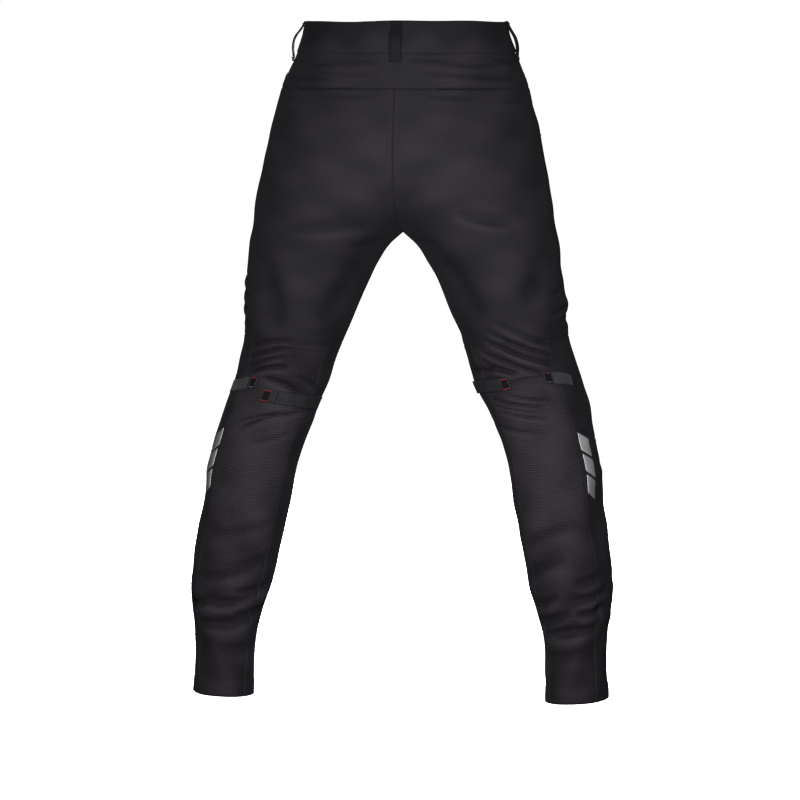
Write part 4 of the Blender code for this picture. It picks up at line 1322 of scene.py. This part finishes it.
def make_camera():
    """The camera stands behind the garment at the height of its waist and looks a little down."""
    back = towards(CAMERA_AZIMUTH)
    angle = np.radians(CAMERA_AZIMUTH)
    right = Vector((np.cos(angle), np.sin(angle), 0.0))
    camera = bpy.data.objects.new("camera", bpy.data.cameras.new("camera"))
    camera.data.lens = CAMERA_LENS
    camera.data.sensor_width = SENSOR_WIDTH
    camera.location = back * CAMERA_DISTANCE + Vector((0.0, 0.0, CAMERA_HEIGHT))
    aim = Vector((0.0, 0.0, AIM_HEIGHT)) - right * AIM_SIDE
    camera.rotation_mode = "QUATERNION"
    camera.rotation_quaternion = (aim - camera.location).to_track_quat("-Z", "Y")
    bpy.context.scene.collection.objects.link(camera)
    bpy.context.scene.camera = camera


def make_studio():
    """A pale floor, a white surround and soft lights."""
    for name, azimuth, distance, height, size, power in LIGHTS:
        light = bpy.data.lights.new(name, "AREA")
        light.energy = power
        light.size = size
        item = bpy.data.objects.new(name, light)
        item.location = towards(azimuth) * distance + Vector((0.0, 0.0, height))
        item.rotation_mode = "QUATERNION"
        item.rotation_quaternion = (Vector((0, 0, LIGHT_AIM_HEIGHT)) - item.location).to_track_quat("-Z", "Y")
        item.visible_camera = False
        bpy.context.scene.collection.objects.link(item)
    world = bpy.data.worlds.new("studio")
    bpy.context.scene.world = world
    world.use_nodes = True
    nodes, links = world.node_tree.nodes, world.node_tree.links
    path = nodes.new("ShaderNodeLightPath")
    strength = nodes.new("ShaderNodeMapRange")
    strength.inputs["To Min"].default_value = WORLD_LIGHT
    strength.inputs["To Max"].default_value = WORLD_WHITE
    links.new(path.outputs["Is Camera Ray"], strength.inputs["Value"])
    nodes["Background"].inputs["Color"].default_value = (1.0, 1.0, 1.0, 1.0)
    links.new(strength.outputs["Result"], nodes["Background"].inputs["Strength"])
    angles = np.linspace(0.0, 2 * np.pi, 96, endpoint=False)
    ring = [(np.cos(angle) * FLOOR_RADIUS, np.sin(angle) * FLOOR_RADIUS, FLOOR_HEIGHT) for angle in angles]
    mesh = bpy.data.meshes.new("floor")
    mesh.from_pydata(ring, [], [tuple(range(len(ring)))])
    material = bpy.data.materials.new("floor")
    material.use_nodes = True
    shader = material.node_tree.nodes["Principled BSDF"]
    shader.inputs["Base Color"].default_value = (FLOOR_SHADE, FLOOR_SHADE, FLOOR_SHADE, 1.0)
    shader.inputs["Roughness"].default_value = 0.9
    shader.inputs["Emission Color"].default_value = (1.0, 1.0, 1.0, 1.0)
    shader.inputs["Emission Strength"].default_value = FLOOR_GLOW
    mesh.materials.append(material)
    floor = bpy.data.objects.new("floor", mesh)
    bpy.context.scene.collection.objects.link(floor)
    floor.visible_diffuse = False
    floor.visible_glossy = False
    bpy.context.scene.view_settings.view_transform = "Standard"
    bpy.context.scene.view_settings.gamma = PICTURE_GAMMA


make_camera()
make_studio()
finishes = make_finishes()
make_waistband(finishes["shell"])
make_yoke(finishes["shell"])
make_upper(finishes)
make_fly_flap(finishes["shell"])
make_waistband_tab(finishes["waist"])
make_snap(finishes["metal"])
make_lower(finishes)
make_straps(finishes)
make_reflectors(finishes)
make_loops(finishes)
